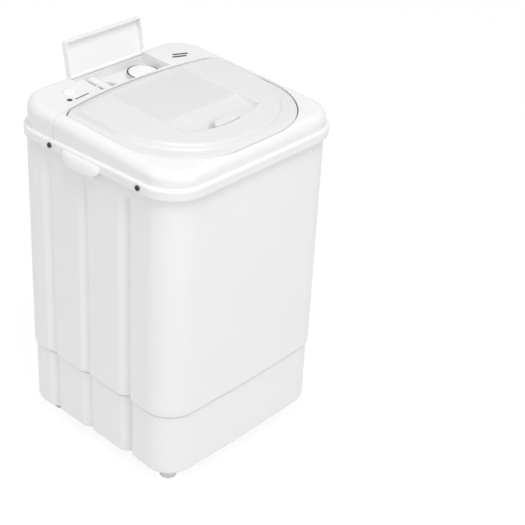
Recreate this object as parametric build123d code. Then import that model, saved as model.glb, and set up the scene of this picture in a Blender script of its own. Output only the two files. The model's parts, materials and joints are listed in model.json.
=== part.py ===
"""Compact top load washing machine.

Units are millimetres.  The origin is the centre of the floor under the feet,
the front faces -Y, the left side is -X and +Z is up.
"""
import os
from math import atan2, cos, degrees, radians, sin, sqrt

from build123d import *

# Flange and top cover
FLANGE_HALF_WIDTH = 180.0
FLANGE_HALF_DEPTH = 173.0
FLANGE_RADIUS = 58.0
SKIRT_LOW = 501.0
FLANGE_TOP = 516.0
SKIRT_WALL = 3.0
COLLAR_EDGE_RADIUS = 4.0
TUB_CLEARANCE = 6.0
CONSOLE_CUT_X = 142.0
CONSOLE_CUT_FRONT = 100.0
CONSOLE_CUT_REAR = 154.0
COVER_INSET = 6.0
COVER_WALL = 3.0
COVER_EDGE_RADIUS = 15.0
COVER_SEAM_Y = 76.0
SEAM_GAP = 0.3
TOP_HEIGHT = 547.5
TOP_TILT = 3.27

# Cabinet and base
BODY_HALF_WIDTH = 172.0
BODY_HALF_DEPTH = 165.0
BODY_FRONT_RADIUS = 60.0
BODY_REAR_RADIUS = 40.0
BODY_FRONT_BOW = 2.0
BODY_WALL = 3.0
BASE_INSET = 3.0
BASE_LOW = 24.0
BASE_SEAM = 134.0
BASE_TONGUE_TOP = 146.0
BASE_FLOOR = 3.0
RIB_TOP = 482.0
CABINET_TOP = 513.0
FRONT_JOINT_Y = -112.0
REAR_JOINT_Y = 118.0
# Each side groove: start, end, depth, back of the step, depth after the step
SIDE_GROOVES = (
    (110.0, 92.0, 8.0, 88.0, 2.0),
    (33.0, 14.0, 8.0, 10.0, 2.0),
    (-52.0, -74.0, 14.0, -84.0, 3.0),
)
GROOVE_SAG = 0.24
BASE_OPENING_X = 110.0
BASE_OPENING_Y = 102.0
BASE_OPENING_RADIUS = 20.0
PLATE_LAP = 9.0
PLATE_WALL = 2.5
PLATE_SLOT_X = 55.0
PLATE_SLOT_PITCH = 18.0
PLATE_SLOT_HALF_LENGTH = 32.0
PLATE_SLOT_HALF_WIDTH = 3.0
PLATE_SCREW_X = 114.0
PLATE_SCREW_Y = 80.0
BASE_SCREW_XS = (-110.0, -20.0, 120.0)
BASE_SCREW_Z = 140.0
TAPPER_RADIUS = 1.6
TAPPER_LENGTH = 12.0
TAPPER_HEAD_RADIUS = 3.4
TAPPER_HEAD = 2.0

# Lid
LID_HALF_WIDTH = 156.5
LID_FRONT = -158.5
LID_FRONT_RADIUS = 112.0
LID_SIDE_END = 66.5
LID_CORNER_X = 140.0
LID_CORNER_Y = 78.0
LID_REAR_MIDDLE = 91.0
LID_DEPTH = 12.0
LID_WALL = 3.0
LID_CROWN = 9.0
LID_BAND = 18.0
LID_EDGE = -1.0
LID_GAP = 1.5
LID_REAR_DEPTH = 5.5
LID_THIN_FROM = 56.0
LID_AXIS_Y = 64.0
LID_AXIS_DROP = 3.2
LID_PIN_RADIUS = 1.8
LID_PIN_IN = 142.0
LID_PIN_OUT = 161.5
LID_BARREL_RADIUS = 4.4
HINGE_PAD_FRONT = 5.0
HINGE_PAD_REAR = 3.0
HINGE_PAD_LOW = -8.5
HINGE_PAD_TOP = -2.0
BUFFER_SPOTS = ((-153.5, 20.0), (153.5, 20.0), (-121.2, -123.2), (121.2, -123.2))
BUFFER_STEM_RADIUS = 1.5
BUFFER_RADIUS = 4.0
BUFFER_RISE = 0.4
POCKET_HALF_WIDTH = 75.0
POCKET_FRONT_RADIUS = 182.0
POCKET_FRONT = -106.0
POCKET_BREAK = -45.0
POCKET_REAR = 70.0
POCKET_REAR_LEVEL = 8.6
POCKET_BREAK_LEVEL = 6.8
POCKET_FRONT_LEVEL = -1.0
POCKET_FLOOR_WALL = 2.6
GRIP_RADIUS = 29.0
GRIP_Y = -114.5
GRIP_TOP = 8.7
GRIP_WALL = 3.4
LEDGE_TOP = -12.5
LEDGE_WALL = 3.0
GUTTER_FRONT = 56.0
GUTTER_FLOOR = -31.0
GUTTER_WALL = 1.4
MOUTH_LIP_LOW = -34.0
MOUTH_LIP_WALL = 2.5

# Control deck
WELL_LEFT = -45.0
WELL_RIGHT = 79.5
WELL_FRONT = 95.8
WELL_REAR = 155.0
WELL_DEPTH = 20.0
WELL_WALL = 2.5
SHELF_LEFT = -74.6
SHELF_DEPTH = 11.6
HINGE_CUT = 6.2
KNOB_X = 49.0
KNOB_Y = 122.0
KNOB_RADIUS = 23.5
KNOB_TOP = -12.0
TIMER_HALF = 22.0
TIMER_HEIGHT = 32.0
TIMER_BOSS_RADIUS = 5.0
TIMER_SHAFT_RADIUS = 3.0
TIMER_SCREW_X = 16.0
TIMER_SCREW_RADIUS = 1.5
TIMER_SCREW_LENGTH = 8.0
TIMER_SCREW_HEAD_RADIUS = 2.8
TIMER_SCREW_HEAD = 1.2
INLET_X = -24.0
INLET_Y = 120.0
INLET_RADIUS = 16.0
GUARD_X = -28.5
GUARD_HALF = 7.5
GUARD_TOP = -12.0
GUARD_WALL = 5.0
GUARD_ROUND = 4.5
GUARD_ROOT = 0.3
STRAINER_BARS = (-8.0, 0.0, 8.0)
STRAINER_HALF_BAR = 1.0
CHUTE_WALL = 2.0
CHUTE_TOP = 522.0
CHUTE_LOW = 478.0
SPOUT_Z = 492.0
SPOUT_RADIUS = 12.0
SPOUT_START = 82.0
SPOUT_STOP_Y = 96.0
SPOUT_STOP_WALL = 3.0
SPOUT_STOP_RADIUS = 18.0
BUTTON_X = -105.0
BUTTON_Y = 119.0
BUTTON_RADIUS = 10.0
BUTTON_TOP = 2.6
BUTTON_LOW = -4.0
BUTTON_STEM_RADIUS = 3.0
BUTTON_STEM_LOW = -14.0
SWITCH_HALF_X = 16.0
SWITCH_HALF_Y = 11.0
SWITCH_LOW = -32.0
SWITCH_TOP = -3.0
FLAP_AXIS_Y = 158.0
FLAP_AXIS_DROP = 2.6
FLAP_OPEN = 104.0
FLAP_LEFT = -74.0
FLAP_RIGHT = 79.0
FLAP_FRONT = 100.0
FLAP_SKIN = 2.4
FLAP_RIM_DEPTH = 11.0
FLAP_RIM_WALL = 2.2
FLAP_RIM_END = 151.0
FLAP_PIN_RADIUS = 1.2
FLAP_PIN_IN = 6.0
FLAP_PIN_OUT = 2.2

# Tub and drive
TUB_Y = -32.0
TUB_TOP_RADIUS = 122.0
TUB_FLOOR_RADIUS = 116.0
TUB_WALL = 2.5
TUB_FLOOR = 175.0
TUB_FLOOR_WALL = 3.0
TUB_RIM_RADIUS = 131.5
TUB_RIM_WALL = 2.0
TUB_RIM_SINK = 1.8
MOUTH_RADIUS = 108.0
TUB_FLOOR_ROUND = 14.0
HOUSING_NECK_RADIUS = 12.0
HOUSING_NECK_TOP = 184.0
HOUSING_PLATE_RADIUS = 34.0
HOUSING_PLATE_LOW = 167.0
HOUSING_PLATE_TOP = 173.0
HOUSING_STEM_RADIUS = 17.0
HOUSING_FOOT_RADIUS = 30.0
HOUSING_FOOT_WALL = 5.0
HOUSING_BORE = 9.0
HOUSING_NUT_ACROSS = 36.0
LOWER_BUSH = (107.0, 125.0)
UPPER_BUSH = (150.0, 168.0)
SEAL_SPAN = (176.0, 183.0)
DISC_RADIUS = 88.0
DISC_LOW = 190.0
DISC_TOP = 196.0
DISC_RIM_LOW = 184.0
DISC_RIM_WALL = 3.0
DISC_HUB_RADIUS = 15.0
DISC_HUB_LOW = 185.5
DISC_HUB_TOP = 202.0
VANE_COUNT = 6
VANE_LENGTH = 66.0
VANE_WIDTH = 9.0
VANE_RADIUS = 50.0
DISC_HOLES = 18
DISC_HOLE_CIRCLE = 76.0
BOLT_RADIUS = 2.5
DISC_SCREW_LOW = 187.0
DISC_SCREW_HEAD_RADIUS = 6.0
DISC_SCREW_HEAD = 4.0
SHAFT_RADIUS = 5.0
SHAFT_LOW = 76.0
SHAFT_TOP = 199.0
RUNNING_GAP = 0.05
PULLEY_MIDDLE = 90.0
PULLEY_HALF = 6.0
DRIVEN_RADIUS = 60.0
DRIVEN_HOLES = 5
DRIVEN_HOLE_RADIUS = 11.0
DRIVEN_HOLE_CIRCLE = 32.0
PULLEY_NUT_ACROSS = 16.0
PULLEY_NUT_HEIGHT = 6.0
BELT_SEAT = 3.3
BELT_WALL = 4.6
BELT_HALF = 3.5
PLATE_LOW = 104.0
PLATE_TOP = 107.0
PLATE_HALF_WIDTH = 58.0
PLATE_FRONT = -72.0
PLATE_REAR = 140.0
PLATE_CORNER = 14.0
HOUSING_BOLT_CIRCLE = 24.0
MOTOR_BOLT_CIRCLE = 36.0
BOLT_TOP = 112.0
BOLT_HEAD_ACROSS = 8.0
BOLT_HEAD = 4.0
MOTOR_Y = 88.0
MOTOR_PULLEY_RADIUS = 15.0
GROOVE_DEPTH = 5.0
MOTOR_SHAFT_RADIUS = 4.0
MOTOR_SHAFT_LOW = 80.0
MOTOR_RADIUS = 45.0
MOTOR_CAP_RADIUS = 43.0
MOTOR_BORE = 26.0
MOTOR_AIR_GAP = 0.5
MOTOR_CORE_LOW = 118.0
MOTOR_CORE_TOP = 158.0
MOTOR_TOP = 166.0
ROTOR_INSET = 2.0
CAPACITOR_X = 88.0
CAPACITOR_Y = -40.0
CAPACITOR_RADIUS = 17.0
CAPACITOR_TOP = 92.0
CLIP_WALL = 2.0
CLIP_LOW = 34.0
CLIP_TOP = 46.0
CLIP_HALF_WIDTH = 6.0
BASKET_LOW = 204.0
BASKET_HEIGHT = 125.0
BASKET_FLOOR_RADIUS = 80.0
BASKET_RIM_RADIUS = 97.0
BASKET_WALL = 2.4
BASKET_FLOOR = 3.0
BASKET_RIM_LIP = 3.0
BASKET_RIM_HEIGHT = 6.0
BASKET_SLOTS = 40
BASKET_SLOT_WIDTH = 6.0
BASKET_SLOT_HEIGHT = 92.0
BASKET_SLOT_MIDDLE = 62.0
BASKET_PEGS = 6
BASKET_PEG_CIRCLE = 60.0
BASKET_PEG_RADIUS = 5.0
BASKET_PEG_LENGTH = 7.0
DRAIN_X = 70.0
DRAIN_Y = 18.0
DRAIN_Z = 160.0
DRAIN_BORE = 9.5
DRAIN_DROP_RADIUS = 12.5
DRAIN_RUN_RADIUS = 11.0
DRAIN_RUN_BORE = 9.0
DRAIN_RUN_END = 152.0
DRAIN_WALL_HOLE = 12.0
GRATE_RADIUS = 13.0
GRATE_SLOTS = (-6.0, -2.0, 2.0, 6.0)
SPIGOT_RADIUS = 10.0
SPIGOT_BORE = 7.5
SPIGOT_END = 172.6
SPIGOT_FLANGE_RADIUS = 13.8
CLAMP_FRONT = 136.0
CLAMP_REAR = 144.0
CLAMP_RADIUS = 13.0
FOOT_X = 132.0
FOOT_Y = 124.0
FOOT_RADIUS = 15.0
FOOT_WAIST = 18.0
STUD_RADIUS = 3.0
STUD_LOW = 9.0
STUD_TOP = 34.0
STUD_NUT_ACROSS = 10.0
STUD_NUT_HEIGHT = 5.0
CORD_X = -90.0
CORD_Z = 175.0
CORD_BORE = 3.7
GLAND_RADIUS = 8.0
GLAND_END = 170.0
GLAND_FLANGE_RADIUS = 11.0
GLAND_FLANGE_END = 168.5
GLAND_NUT_RADIUS = 12.5
GLAND_NUT_HEIGHT = 5.0
LOOM_RADIUS = 2.6
LOOM_BEND = 12.0

# Carry handles and flange screws
HANDLE_Y = 11.0
HANDLE_HALF = 39.5
HANDLE_LOW = 489.0
HANDLE_TOP = 512.0
HANDLE_OUT = 188.0
HANDLE_WALL = 2.6
HANDLE_ROOF = 3.0
HANDLE_POCKET_HALF = 34.0
HANDLE_EDGE_RADIUS = 5.0
SCREW_SPOTS = ((-104.0, 508.0), (78.0, 508.0))
SCREW_RADIUS = 2.0
SCREW_REACH = 8.0
SCREW_BOSS_RADIUS = 4.8
SCREW_HEAD_RADIUS = 4.0
SCREW_HEAD = 2.0
CROSS_FLOOR = 0.6
CROSS_REACH = 2.6
CROSS_HALF_WIDTH = 0.6

# Sizes of cutting blocks that pass right through
FAR = 300.0
HIGH = 800.0

TOP_FRAME = Location((0, 0, TOP_HEIGHT), (TOP_TILT, 0, 0))


# Simple solids
def block(x0, x1, y0, y1, z0, z1):
    """A box between two corners."""
    return Pos((x0 + x1) / 2, (y0 + y1) / 2, (z0 + z1) / 2) * Box(x1 - x0, y1 - y0, z1 - z0)


def rod(x, y, radius, z0, z1):
    """An upright cylinder."""
    return Pos(x, y, (z0 + z1) / 2) * Cylinder(radius, z1 - z0)


def tube(x, y, outer, inner, z0, z1):
    """An upright ring."""
    return rod(x, y, outer, z0, z1) - rod(x, y, inner, z0 - 1, z1 + 1)


def cone(x, y, low_radius, high_radius, z0, z1):
    """An upright cone."""
    return Pos(x, y, (z0 + z1) / 2) * Cone(low_radius, high_radius, z1 - z0)


def rod_x(x0, x1, y, z, radius):
    """A cylinder along X."""
    return Pos((x0 + x1) / 2, y, z) * Rot(0, 90, 0) * Cylinder(radius, x1 - x0)


def rod_y(x, y0, y1, z, radius):
    """A cylinder along Y."""
    return Pos(x, (y0 + y1) / 2, z) * Rot(90, 0, 0) * Cylinder(radius, y1 - y0)


def slab(half_x, half_y, radius, z0, z1):
    """A plate with rounded corners."""
    return Pos(0, 0, z0) * extrude(RectangleRounded(2 * half_x, 2 * half_y, radius), z1 - z0)


def prism(face, low, high):
    """A flat face raised between two heights."""
    return Pos(0, 0, low) * extrude(face, high - low, dir=(0, 0, 1))


def hexagon(x, y, across, z0, z1):
    """A hexagonal nut blank."""
    return Pos(x, y, z0) * extrude(RegularPolygon(across / sqrt(3), 6), z1 - z0)


def on_top(shape):
    """Places a shape drawn on the sloping top."""
    return TOP_FRAME * shape


def polar_spots(count, radius, x=0.0, y=0.0, start=0.0):
    """Points spread round a circle with their angles."""
    spots = []
    for index in range(count):
        angle = start + 360.0 * index / count
        px = x + radius * cos(radians(angle))
        py = y + radius * sin(radians(angle))
        spots.append((px, py, angle))
    return spots


def group(shapes):
    """Puts identical pieces in one node."""
    return Compound(children=[shape.solid() for shape in shapes])


# Plan outlines
def cabinet_face(inset, grooved):
    """Plan of the cabinet, drawn in from its outer face by an inset."""
    half_x = BODY_HALF_WIDTH - inset
    half_y = BODY_HALF_DEPTH - inset
    rear = BODY_REAR_RADIUS - inset
    front = BODY_FRONT_RADIUS - inset
    lean = 1 - sqrt(0.5)
    runs = [[(half_x - rear, half_y), (half_x - rear * lean, half_y - rear * lean), (half_x, half_y - rear)]]
    here = (half_x, half_y - rear)
    if grooved:
        for start, end, depth, back, after in SIDE_GROOVES:
            runs.append([here, (half_x, start)])
            middle = (half_x - depth * GROOVE_SAG, (start + end) / 2)
            runs.append([(half_x, start), middle, (half_x - depth, end)])
            runs.append([(half_x - depth, end), (half_x - after, back)])
            here = (half_x - after, back)
    corner = (half_x, -half_y + front)
    runs.append([here, corner])
    turn = (half_x - front * lean, -half_y + front * lean)
    runs.append([corner, turn, (half_x - front, -half_y)])
    edges = []
    for side in (1, -1):
        for run in runs:
            points = [Vector(side * x, y, 0) for x, y in run]
            if len(points) == 2:
                edges.append(Edge.make_line(points[0], points[1]))
            else:
                edges.append(Edge.make_three_point_arc(points[0], points[1], points[2]))
    reach = half_x - front
    edges.append(Edge.make_three_point_arc(
        Vector(reach, -half_y, 0), Vector(0, -half_y - BODY_FRONT_BOW, 0), Vector(-reach, -half_y, 0)))
    edges.append(Edge.make_line(Vector(half_x - rear, half_y, 0), Vector(-half_x + rear, half_y, 0)))
    return Face(Wire(edges))


def lid_face(grow):
    """Plan of the lid, grown by a margin."""
    half = LID_HALF_WIDTH
    straight = half - LID_FRONT_RADIUS
    turn_y = LID_FRONT + LID_FRONT_RADIUS
    lean = LID_FRONT_RADIUS * sqrt(0.5)
    edges = [
        Edge.make_line(Vector(-straight, LID_FRONT, 0), Vector(straight, LID_FRONT, 0)),
        Edge.make_three_point_arc(
            Vector(LID_CORNER_X, LID_CORNER_Y, 0),
            Vector(0, LID_REAR_MIDDLE, 0),
            Vector(-LID_CORNER_X, LID_CORNER_Y, 0)),
    ]
    for side in (-1, 1):
        edges.append(Edge.make_three_point_arc(
            Vector(side * straight, LID_FRONT, 0),
            Vector(side * (straight + lean), turn_y - lean, 0),
            Vector(side * half, turn_y, 0)))
        edges.append(Edge.make_line(Vector(side * half, turn_y, 0), Vector(side * half, LID_SIDE_END, 0)))
        edges.append(Edge.make_line(
            Vector(side * half, LID_SIDE_END, 0), Vector(side * LID_CORNER_X, LID_CORNER_Y, 0)))
    face = Face(Wire(edges))
    if grow == 0:
        return face
    return offset(face, amount=grow, kind=Kind.INTERSECTION).face()


# Cabinet, base and feet
def make_cabinet():
    """Outer cabinet with its stepped side ribs."""
    wall = BODY_WALL
    ribbed = cabinet_face(0, True)
    ribbed_in = cabinet_face(wall, True)
    plain = cabinet_face(0, False)
    plain_in = cabinet_face(wall, False)
    shell = prism(ribbed, BASE_SEAM, RIB_TOP) - prism(ribbed_in, BASE_SEAM - 1, RIB_TOP + 1)
    shelf = prism(plain, RIB_TOP, RIB_TOP + wall) - prism(ribbed_in, RIB_TOP - 1, RIB_TOP + wall + 1)
    band = prism(plain, RIB_TOP + wall, CABINET_TOP) - prism(plain_in, RIB_TOP, CABINET_TOP + 1)
    body = shell + shelf + band
    for y, z in SCREW_SPOTS:
        body -= rod_x(-FAR, FAR, y, z, SCREW_RADIUS)
    inside = BODY_HALF_DEPTH - BODY_WALL - 1
    body -= rod_y(DRAIN_X, inside, FAR, DRAIN_Z, DRAIN_WALL_HOLE)
    body -= rod_y(CORD_X, inside, FAR, CORD_Z, GLAND_RADIUS)
    for x, y in base_screw_spots():
        body -= rod_y(x, y - TAPPER_LENGTH, y + 1, BASE_SCREW_Z, TAPPER_RADIUS)
    return body


def cabinet_panels():
    """Front wrap, two side panels and back wrap of the cabinet."""
    cabinet = make_cabinet()
    front = cabinet & block(-FAR, FAR, -FAR, FRONT_JOINT_Y, 0, HIGH)
    middle = cabinet & block(-FAR, FAR, FRONT_JOINT_Y, REAR_JOINT_Y, 0, HIGH)
    back = cabinet & block(-FAR, FAR, REAR_JOINT_Y, FAR, 0, HIGH)
    return front.solid(), group(middle.solids()), back.solid()


def base_screw_spots():
    """Screws that hold the cabinet to the base at the back."""
    return [(x, BODY_HALF_DEPTH) for x in BASE_SCREW_XS]


def make_base():
    """Base skirt with its floor and the tongue inside the cabinet."""
    outer = cabinet_face(BASE_INSET, True)
    inner = cabinet_face(BASE_INSET + BODY_WALL, True)
    base = prism(outer, BASE_LOW, BASE_TONGUE_TOP) - prism(inner, BASE_LOW + BASE_FLOOR, BASE_TONGUE_TOP + 1)
    under = BASE_LOW - 1
    over = BASE_LOW + BASE_FLOOR + 1
    base -= slab(BASE_OPENING_X, BASE_OPENING_Y, BASE_OPENING_RADIUS, under, over)
    for x, y in foot_spots():
        base -= rod(x, y, STUD_RADIUS, under, over)
    for x, y in plate_screw_spots():
        base -= rod(x, y, TAPPER_RADIUS, under, over)
    for x, y in base_screw_spots():
        base -= rod_y(x, y - TAPPER_LENGTH, y + 1, BASE_SCREW_Z, TAPPER_RADIUS)
    return base


def foot_spots():
    """Plan places of the four feet."""
    return [(x, y) for x in (-FOOT_X, FOOT_X) for y in (-FOOT_Y, FOOT_Y)]


def plate_screw_spots():
    """Plan places of the bottom plate screws."""
    return [(x, y) for x in (-PLATE_SCREW_X, PLATE_SCREW_X) for y in (-PLATE_SCREW_Y, PLATE_SCREW_Y)]


def make_bottom_plate():
    """Service plate with cooling slots over the base opening."""
    low = BASE_LOW + BASE_FLOOR
    high = low + PLATE_WALL
    plate = slab(BASE_OPENING_X + PLATE_LAP, BASE_OPENING_Y + PLATE_LAP, BASE_OPENING_RADIUS, low, high)
    for row in range(-4, 5):
        y0 = row * PLATE_SLOT_PITCH - PLATE_SLOT_HALF_WIDTH
        y1 = row * PLATE_SLOT_PITCH + PLATE_SLOT_HALF_WIDTH
        for x in (-PLATE_SLOT_X, PLATE_SLOT_X):
            plate -= block(x - PLATE_SLOT_HALF_LENGTH, x + PLATE_SLOT_HALF_LENGTH, y0, y1, low - 1, high + 1)
    for x, y in plate_screw_spots():
        plate -= rod(x, y, TAPPER_RADIUS, low - 1, high + 1)
    return plate


def make_feet():
    """Four rubber feet with a socket for the stud."""
    feet = []
    for x, y in foot_spots():
        foot = cone(x, y, FOOT_RADIUS - 2, FOOT_RADIUS, 0, FOOT_WAIST)
        foot += rod(x, y, FOOT_RADIUS - 3, FOOT_WAIST, BASE_LOW)
        feet.append(foot - rod(x, y, STUD_RADIUS, STUD_LOW, BASE_LOW + 1))
    return group(feet)


def make_foot_studs():
    """Studs moulded into the feet."""
    return group([rod(x, y, STUD_RADIUS, STUD_LOW, STUD_TOP) for x, y in foot_spots()])


def make_foot_nuts():
    """Nuts that hold the feet to the base floor."""
    low = BASE_LOW + BASE_FLOOR
    high = low + STUD_NUT_HEIGHT
    nuts = []
    for x, y in foot_spots():
        nuts.append(hexagon(x, y, STUD_NUT_ACROSS, low, high) - rod(x, y, STUD_RADIUS, low - 1, high + 1))
    return group(nuts)


def make_body_screws():
    """Self tapping screws under the bottom plate and at the back of the base."""
    screws = []
    for x, y in plate_screw_spots():
        head = rod(x, y, TAPPER_HEAD_RADIUS, BASE_LOW - TAPPER_HEAD, BASE_LOW)
        screws.append(head + rod(x, y, TAPPER_RADIUS, BASE_LOW, BASE_LOW + TAPPER_LENGTH))
    for x, y in base_screw_spots():
        head = rod_y(x, y, y + TAPPER_HEAD, BASE_SCREW_Z, TAPPER_HEAD_RADIUS)
        screws.append(head + rod_y(x, y - TAPPER_LENGTH, y, BASE_SCREW_Z, TAPPER_RADIUS))
    return group(screws)


# Flange collar and handles
def make_collar():
    """Flange ring that carries the tub and the top cover."""
    wall = SKIRT_WALL
    collar = slab(FLANGE_HALF_WIDTH, FLANGE_HALF_DEPTH, FLANGE_RADIUS, SKIRT_LOW, FLANGE_TOP)
    rim = collar.faces().sort_by(Axis.Z)[-1].edges()
    collar = fillet(rim, COLLAR_EDGE_RADIUS)
    inner_x = FLANGE_HALF_WIDTH - wall
    inner_y = FLANGE_HALF_DEPTH - wall
    collar -= slab(inner_x, inner_y, FLANGE_RADIUS - wall, SKIRT_LOW - 1, CABINET_TOP)
    collar -= rod(0, TUB_Y, TUB_TOP_RADIUS + TUB_CLEARANCE, CABINET_TOP - 1, FLANGE_TOP + 1)
    collar -= rod(0, TUB_Y, TUB_RIM_RADIUS, FLANGE_TOP - TUB_RIM_SINK, FLANGE_TOP + 1)
    collar -= block(-CONSOLE_CUT_X, CONSOLE_CUT_X, CONSOLE_CUT_FRONT, CONSOLE_CUT_REAR,
                    CABINET_TOP - 1, FLANGE_TOP + 1)
    for side in (-1, 1):
        x0, x1 = sorted((side * (inner_x - 1), side * (FLANGE_HALF_WIDTH + 1)))
        collar -= block(x0, x1, HANDLE_Y - HANDLE_POCKET_HALF, HANDLE_Y + HANDLE_POCKET_HALF,
                        SKIRT_LOW - 1, HANDLE_TOP - HANDLE_ROOF)
        for y, z in SCREW_SPOTS:
            b0, b1 = sorted((side * BODY_HALF_WIDTH, side * inner_x))
            collar += rod_x(b0, b1, y, z, SCREW_BOSS_RADIUS)
    for y, z in SCREW_SPOTS:
        collar -= rod_x(-FAR, FAR, y, z, SCREW_RADIUS)
    return collar


def make_handle(side):
    """Hooded carry handle on one side of the flange."""
    x0, x1 = sorted((side * FLANGE_HALF_WIDTH, side * HANDLE_OUT))
    hood = block(x0, x1, HANDLE_Y - HANDLE_HALF, HANDLE_Y + HANDLE_HALF, HANDLE_LOW, HANDLE_TOP)
    outer = hood.faces().sort_by(Axis.X)[-1 if side > 0 else 0].edges()
    hood = fillet(outer, HANDLE_EDGE_RADIUS)
    p0, p1 = sorted((side * (FLANGE_HALF_WIDTH - 1), side * (HANDLE_OUT - HANDLE_WALL)))
    hood -= block(p0, p1, HANDLE_Y - HANDLE_POCKET_HALF, HANDLE_Y + HANDLE_POCKET_HALF,
                  HANDLE_LOW - 1, HANDLE_TOP - HANDLE_ROOF)
    return hood


def make_cover_screws():
    """Cross head screws on both sides of the flange."""
    screws = []
    for side in (-1, 1):
        for y, z in SCREW_SPOTS:
            f0, f1 = sorted((side * (BODY_HALF_WIDTH - SCREW_REACH), side * FLANGE_HALF_WIDTH))
            h0, h1 = sorted((side * FLANGE_HALF_WIDTH, side * (FLANGE_HALF_WIDTH + SCREW_HEAD)))
            c0, c1 = sorted((side * (FLANGE_HALF_WIDTH + CROSS_FLOOR), side * FAR))
            screw = rod_x(f0, f1, y, z, SCREW_RADIUS) + rod_x(h0, h1, y, z, SCREW_HEAD_RADIUS)
            for wide, tall in ((CROSS_REACH, CROSS_HALF_WIDTH), (CROSS_HALF_WIDTH, CROSS_REACH)):
                screw -= block(c0, c1, y - wide, y + wide, z - tall, z + tall)
            screws.append(screw)
    return group(screws)


# Sloping top cover
def cover_solid(inset, drop, edge):
    """Solid under the sloping top, drawn in and down by a wall."""
    half_x = FLANGE_HALF_WIDTH - COVER_INSET - inset
    half_y = FLANGE_HALF_DEPTH - COVER_INSET - inset
    solid = slab(half_x, half_y, FLANGE_RADIUS - COVER_INSET - inset, FLANGE_TOP - inset, TOP_HEIGHT + 40)
    solid -= on_top(block(-FAR, FAR, -FAR, FAR, -drop, FAR))
    top = solid.faces().sort_by(Axis.Z)[-1].edges()
    return fillet(top, edge)


def keep_front(shape):
    """The part of a shape in front of the cover seam."""
    return shape & block(-FAR, FAR, -FAR, COVER_SEAM_Y - SEAM_GAP, 0, HIGH)


def keep_rear(shape):
    """The part of a shape behind the cover seam."""
    return shape & block(-FAR, FAR, COVER_SEAM_Y + SEAM_GAP, FAR, 0, HIGH)


def lid_well_wall():
    """Upright wall round the lid opening."""
    ring = prism(lid_face(LID_GAP + COVER_WALL), LEDGE_TOP, -0.5)
    wall = on_top(ring - prism(lid_face(LID_GAP), -60, 20))
    return wall & cover_solid(0, 0, COVER_EDGE_RADIUS)


def make_top_frame():
    """Front part of the cover with the lid opening and the hinge holes."""
    shell = cover_solid(0, 0, COVER_EDGE_RADIUS) - cover_solid(COVER_WALL, COVER_WALL, COVER_EDGE_RADIUS - 2)
    shell -= on_top(prism(lid_face(LID_GAP), -80, 60))
    frame = keep_front(shell + lid_well_wall())
    for side in (-1, 1):
        x0, x1 = sorted((side * (LID_HALF_WIDTH + LID_GAP + 1), side * (LID_PIN_OUT + 3)))
        frame += on_top(block(x0, x1, LID_AXIS_Y - HINGE_PAD_FRONT, LID_AXIS_Y + HINGE_PAD_REAR,
                              HINGE_PAD_LOW, HINGE_PAD_TOP))
        h0, h1 = sorted((side * LID_PIN_IN, side * (LID_PIN_OUT + 0.5)))
        frame -= on_top(rod_x(h0, h1, LID_AXIS_Y, -LID_AXIS_DROP, LID_PIN_RADIUS + RUNNING_GAP))
    return frame.solid()


def make_tub_ring():
    """Splash ring under the lid with the ledge, the tub mouth and the hinge gutter."""
    plan = lid_face(LID_GAP + COVER_WALL)
    low = GUTTER_FLOOR - GUTTER_WALL
    under = LEDGE_TOP - LEDGE_WALL
    step_front = GUTTER_FRONT - GUTTER_WALL
    front = block(-FAR, FAR, -FAR, GUTTER_FRONT, -FAR, FAR)
    rear = block(-FAR, FAR, step_front, FAR, -FAR, FAR)
    ledge = prism(plan, under, LEDGE_TOP) & front
    floor = prism(plan, low, GUTTER_FLOOR) & rear
    wall = (prism(plan, low, LEDGE_TOP) - prism(lid_face(LID_GAP), low - 1, LEDGE_TOP + 1)) & rear
    step = prism(plan, low, LEDGE_TOP) & front & rear
    reach = block(-FAR, FAR, -FAR, GUTTER_FRONT - 4, -FAR, FAR)
    mouth = rod(0, TUB_Y, MOUTH_RADIUS, low, LEDGE_TOP + 1) & reach
    lip = tube(0, TUB_Y, MOUTH_RADIUS + MOUTH_LIP_WALL, MOUTH_RADIUS, MOUTH_LIP_LOW, under) & reach
    ring = (ledge - mouth) + floor + wall + step + lip
    for x, y in BUFFER_SPOTS:
        ring -= rod(x, y, BUFFER_STEM_RADIUS, under - 1, LEDGE_TOP + 1)
    return on_top(ring).solid()


def make_lid_buffers():
    """Rubber buffers pushed into the ledge."""
    buffers = []
    for x, y in BUFFER_SPOTS:
        plug = rod(x, y, BUFFER_STEM_RADIUS, LEDGE_TOP - LEDGE_WALL, LEDGE_TOP)
        plug += rod(x, y, BUFFER_RADIUS, LEDGE_TOP, LEDGE_TOP + BUFFER_RISE)
        buffers.append(on_top(plug))
    return group(buffers)


def inlet_guard():
    """Rounded bar across the well that guards the water inlet."""
    bar = block(GUARD_X - GUARD_HALF, GUARD_X + GUARD_HALF, WELL_FRONT - GUARD_ROOT, WELL_REAR + GUARD_ROOT,
                GUARD_TOP - GUARD_WALL, GUARD_TOP)
    top_edges = bar.edges().filter_by(Axis.Y).group_by(Axis.Z)[-1]
    return fillet(top_edges, GUARD_ROUND)


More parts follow.
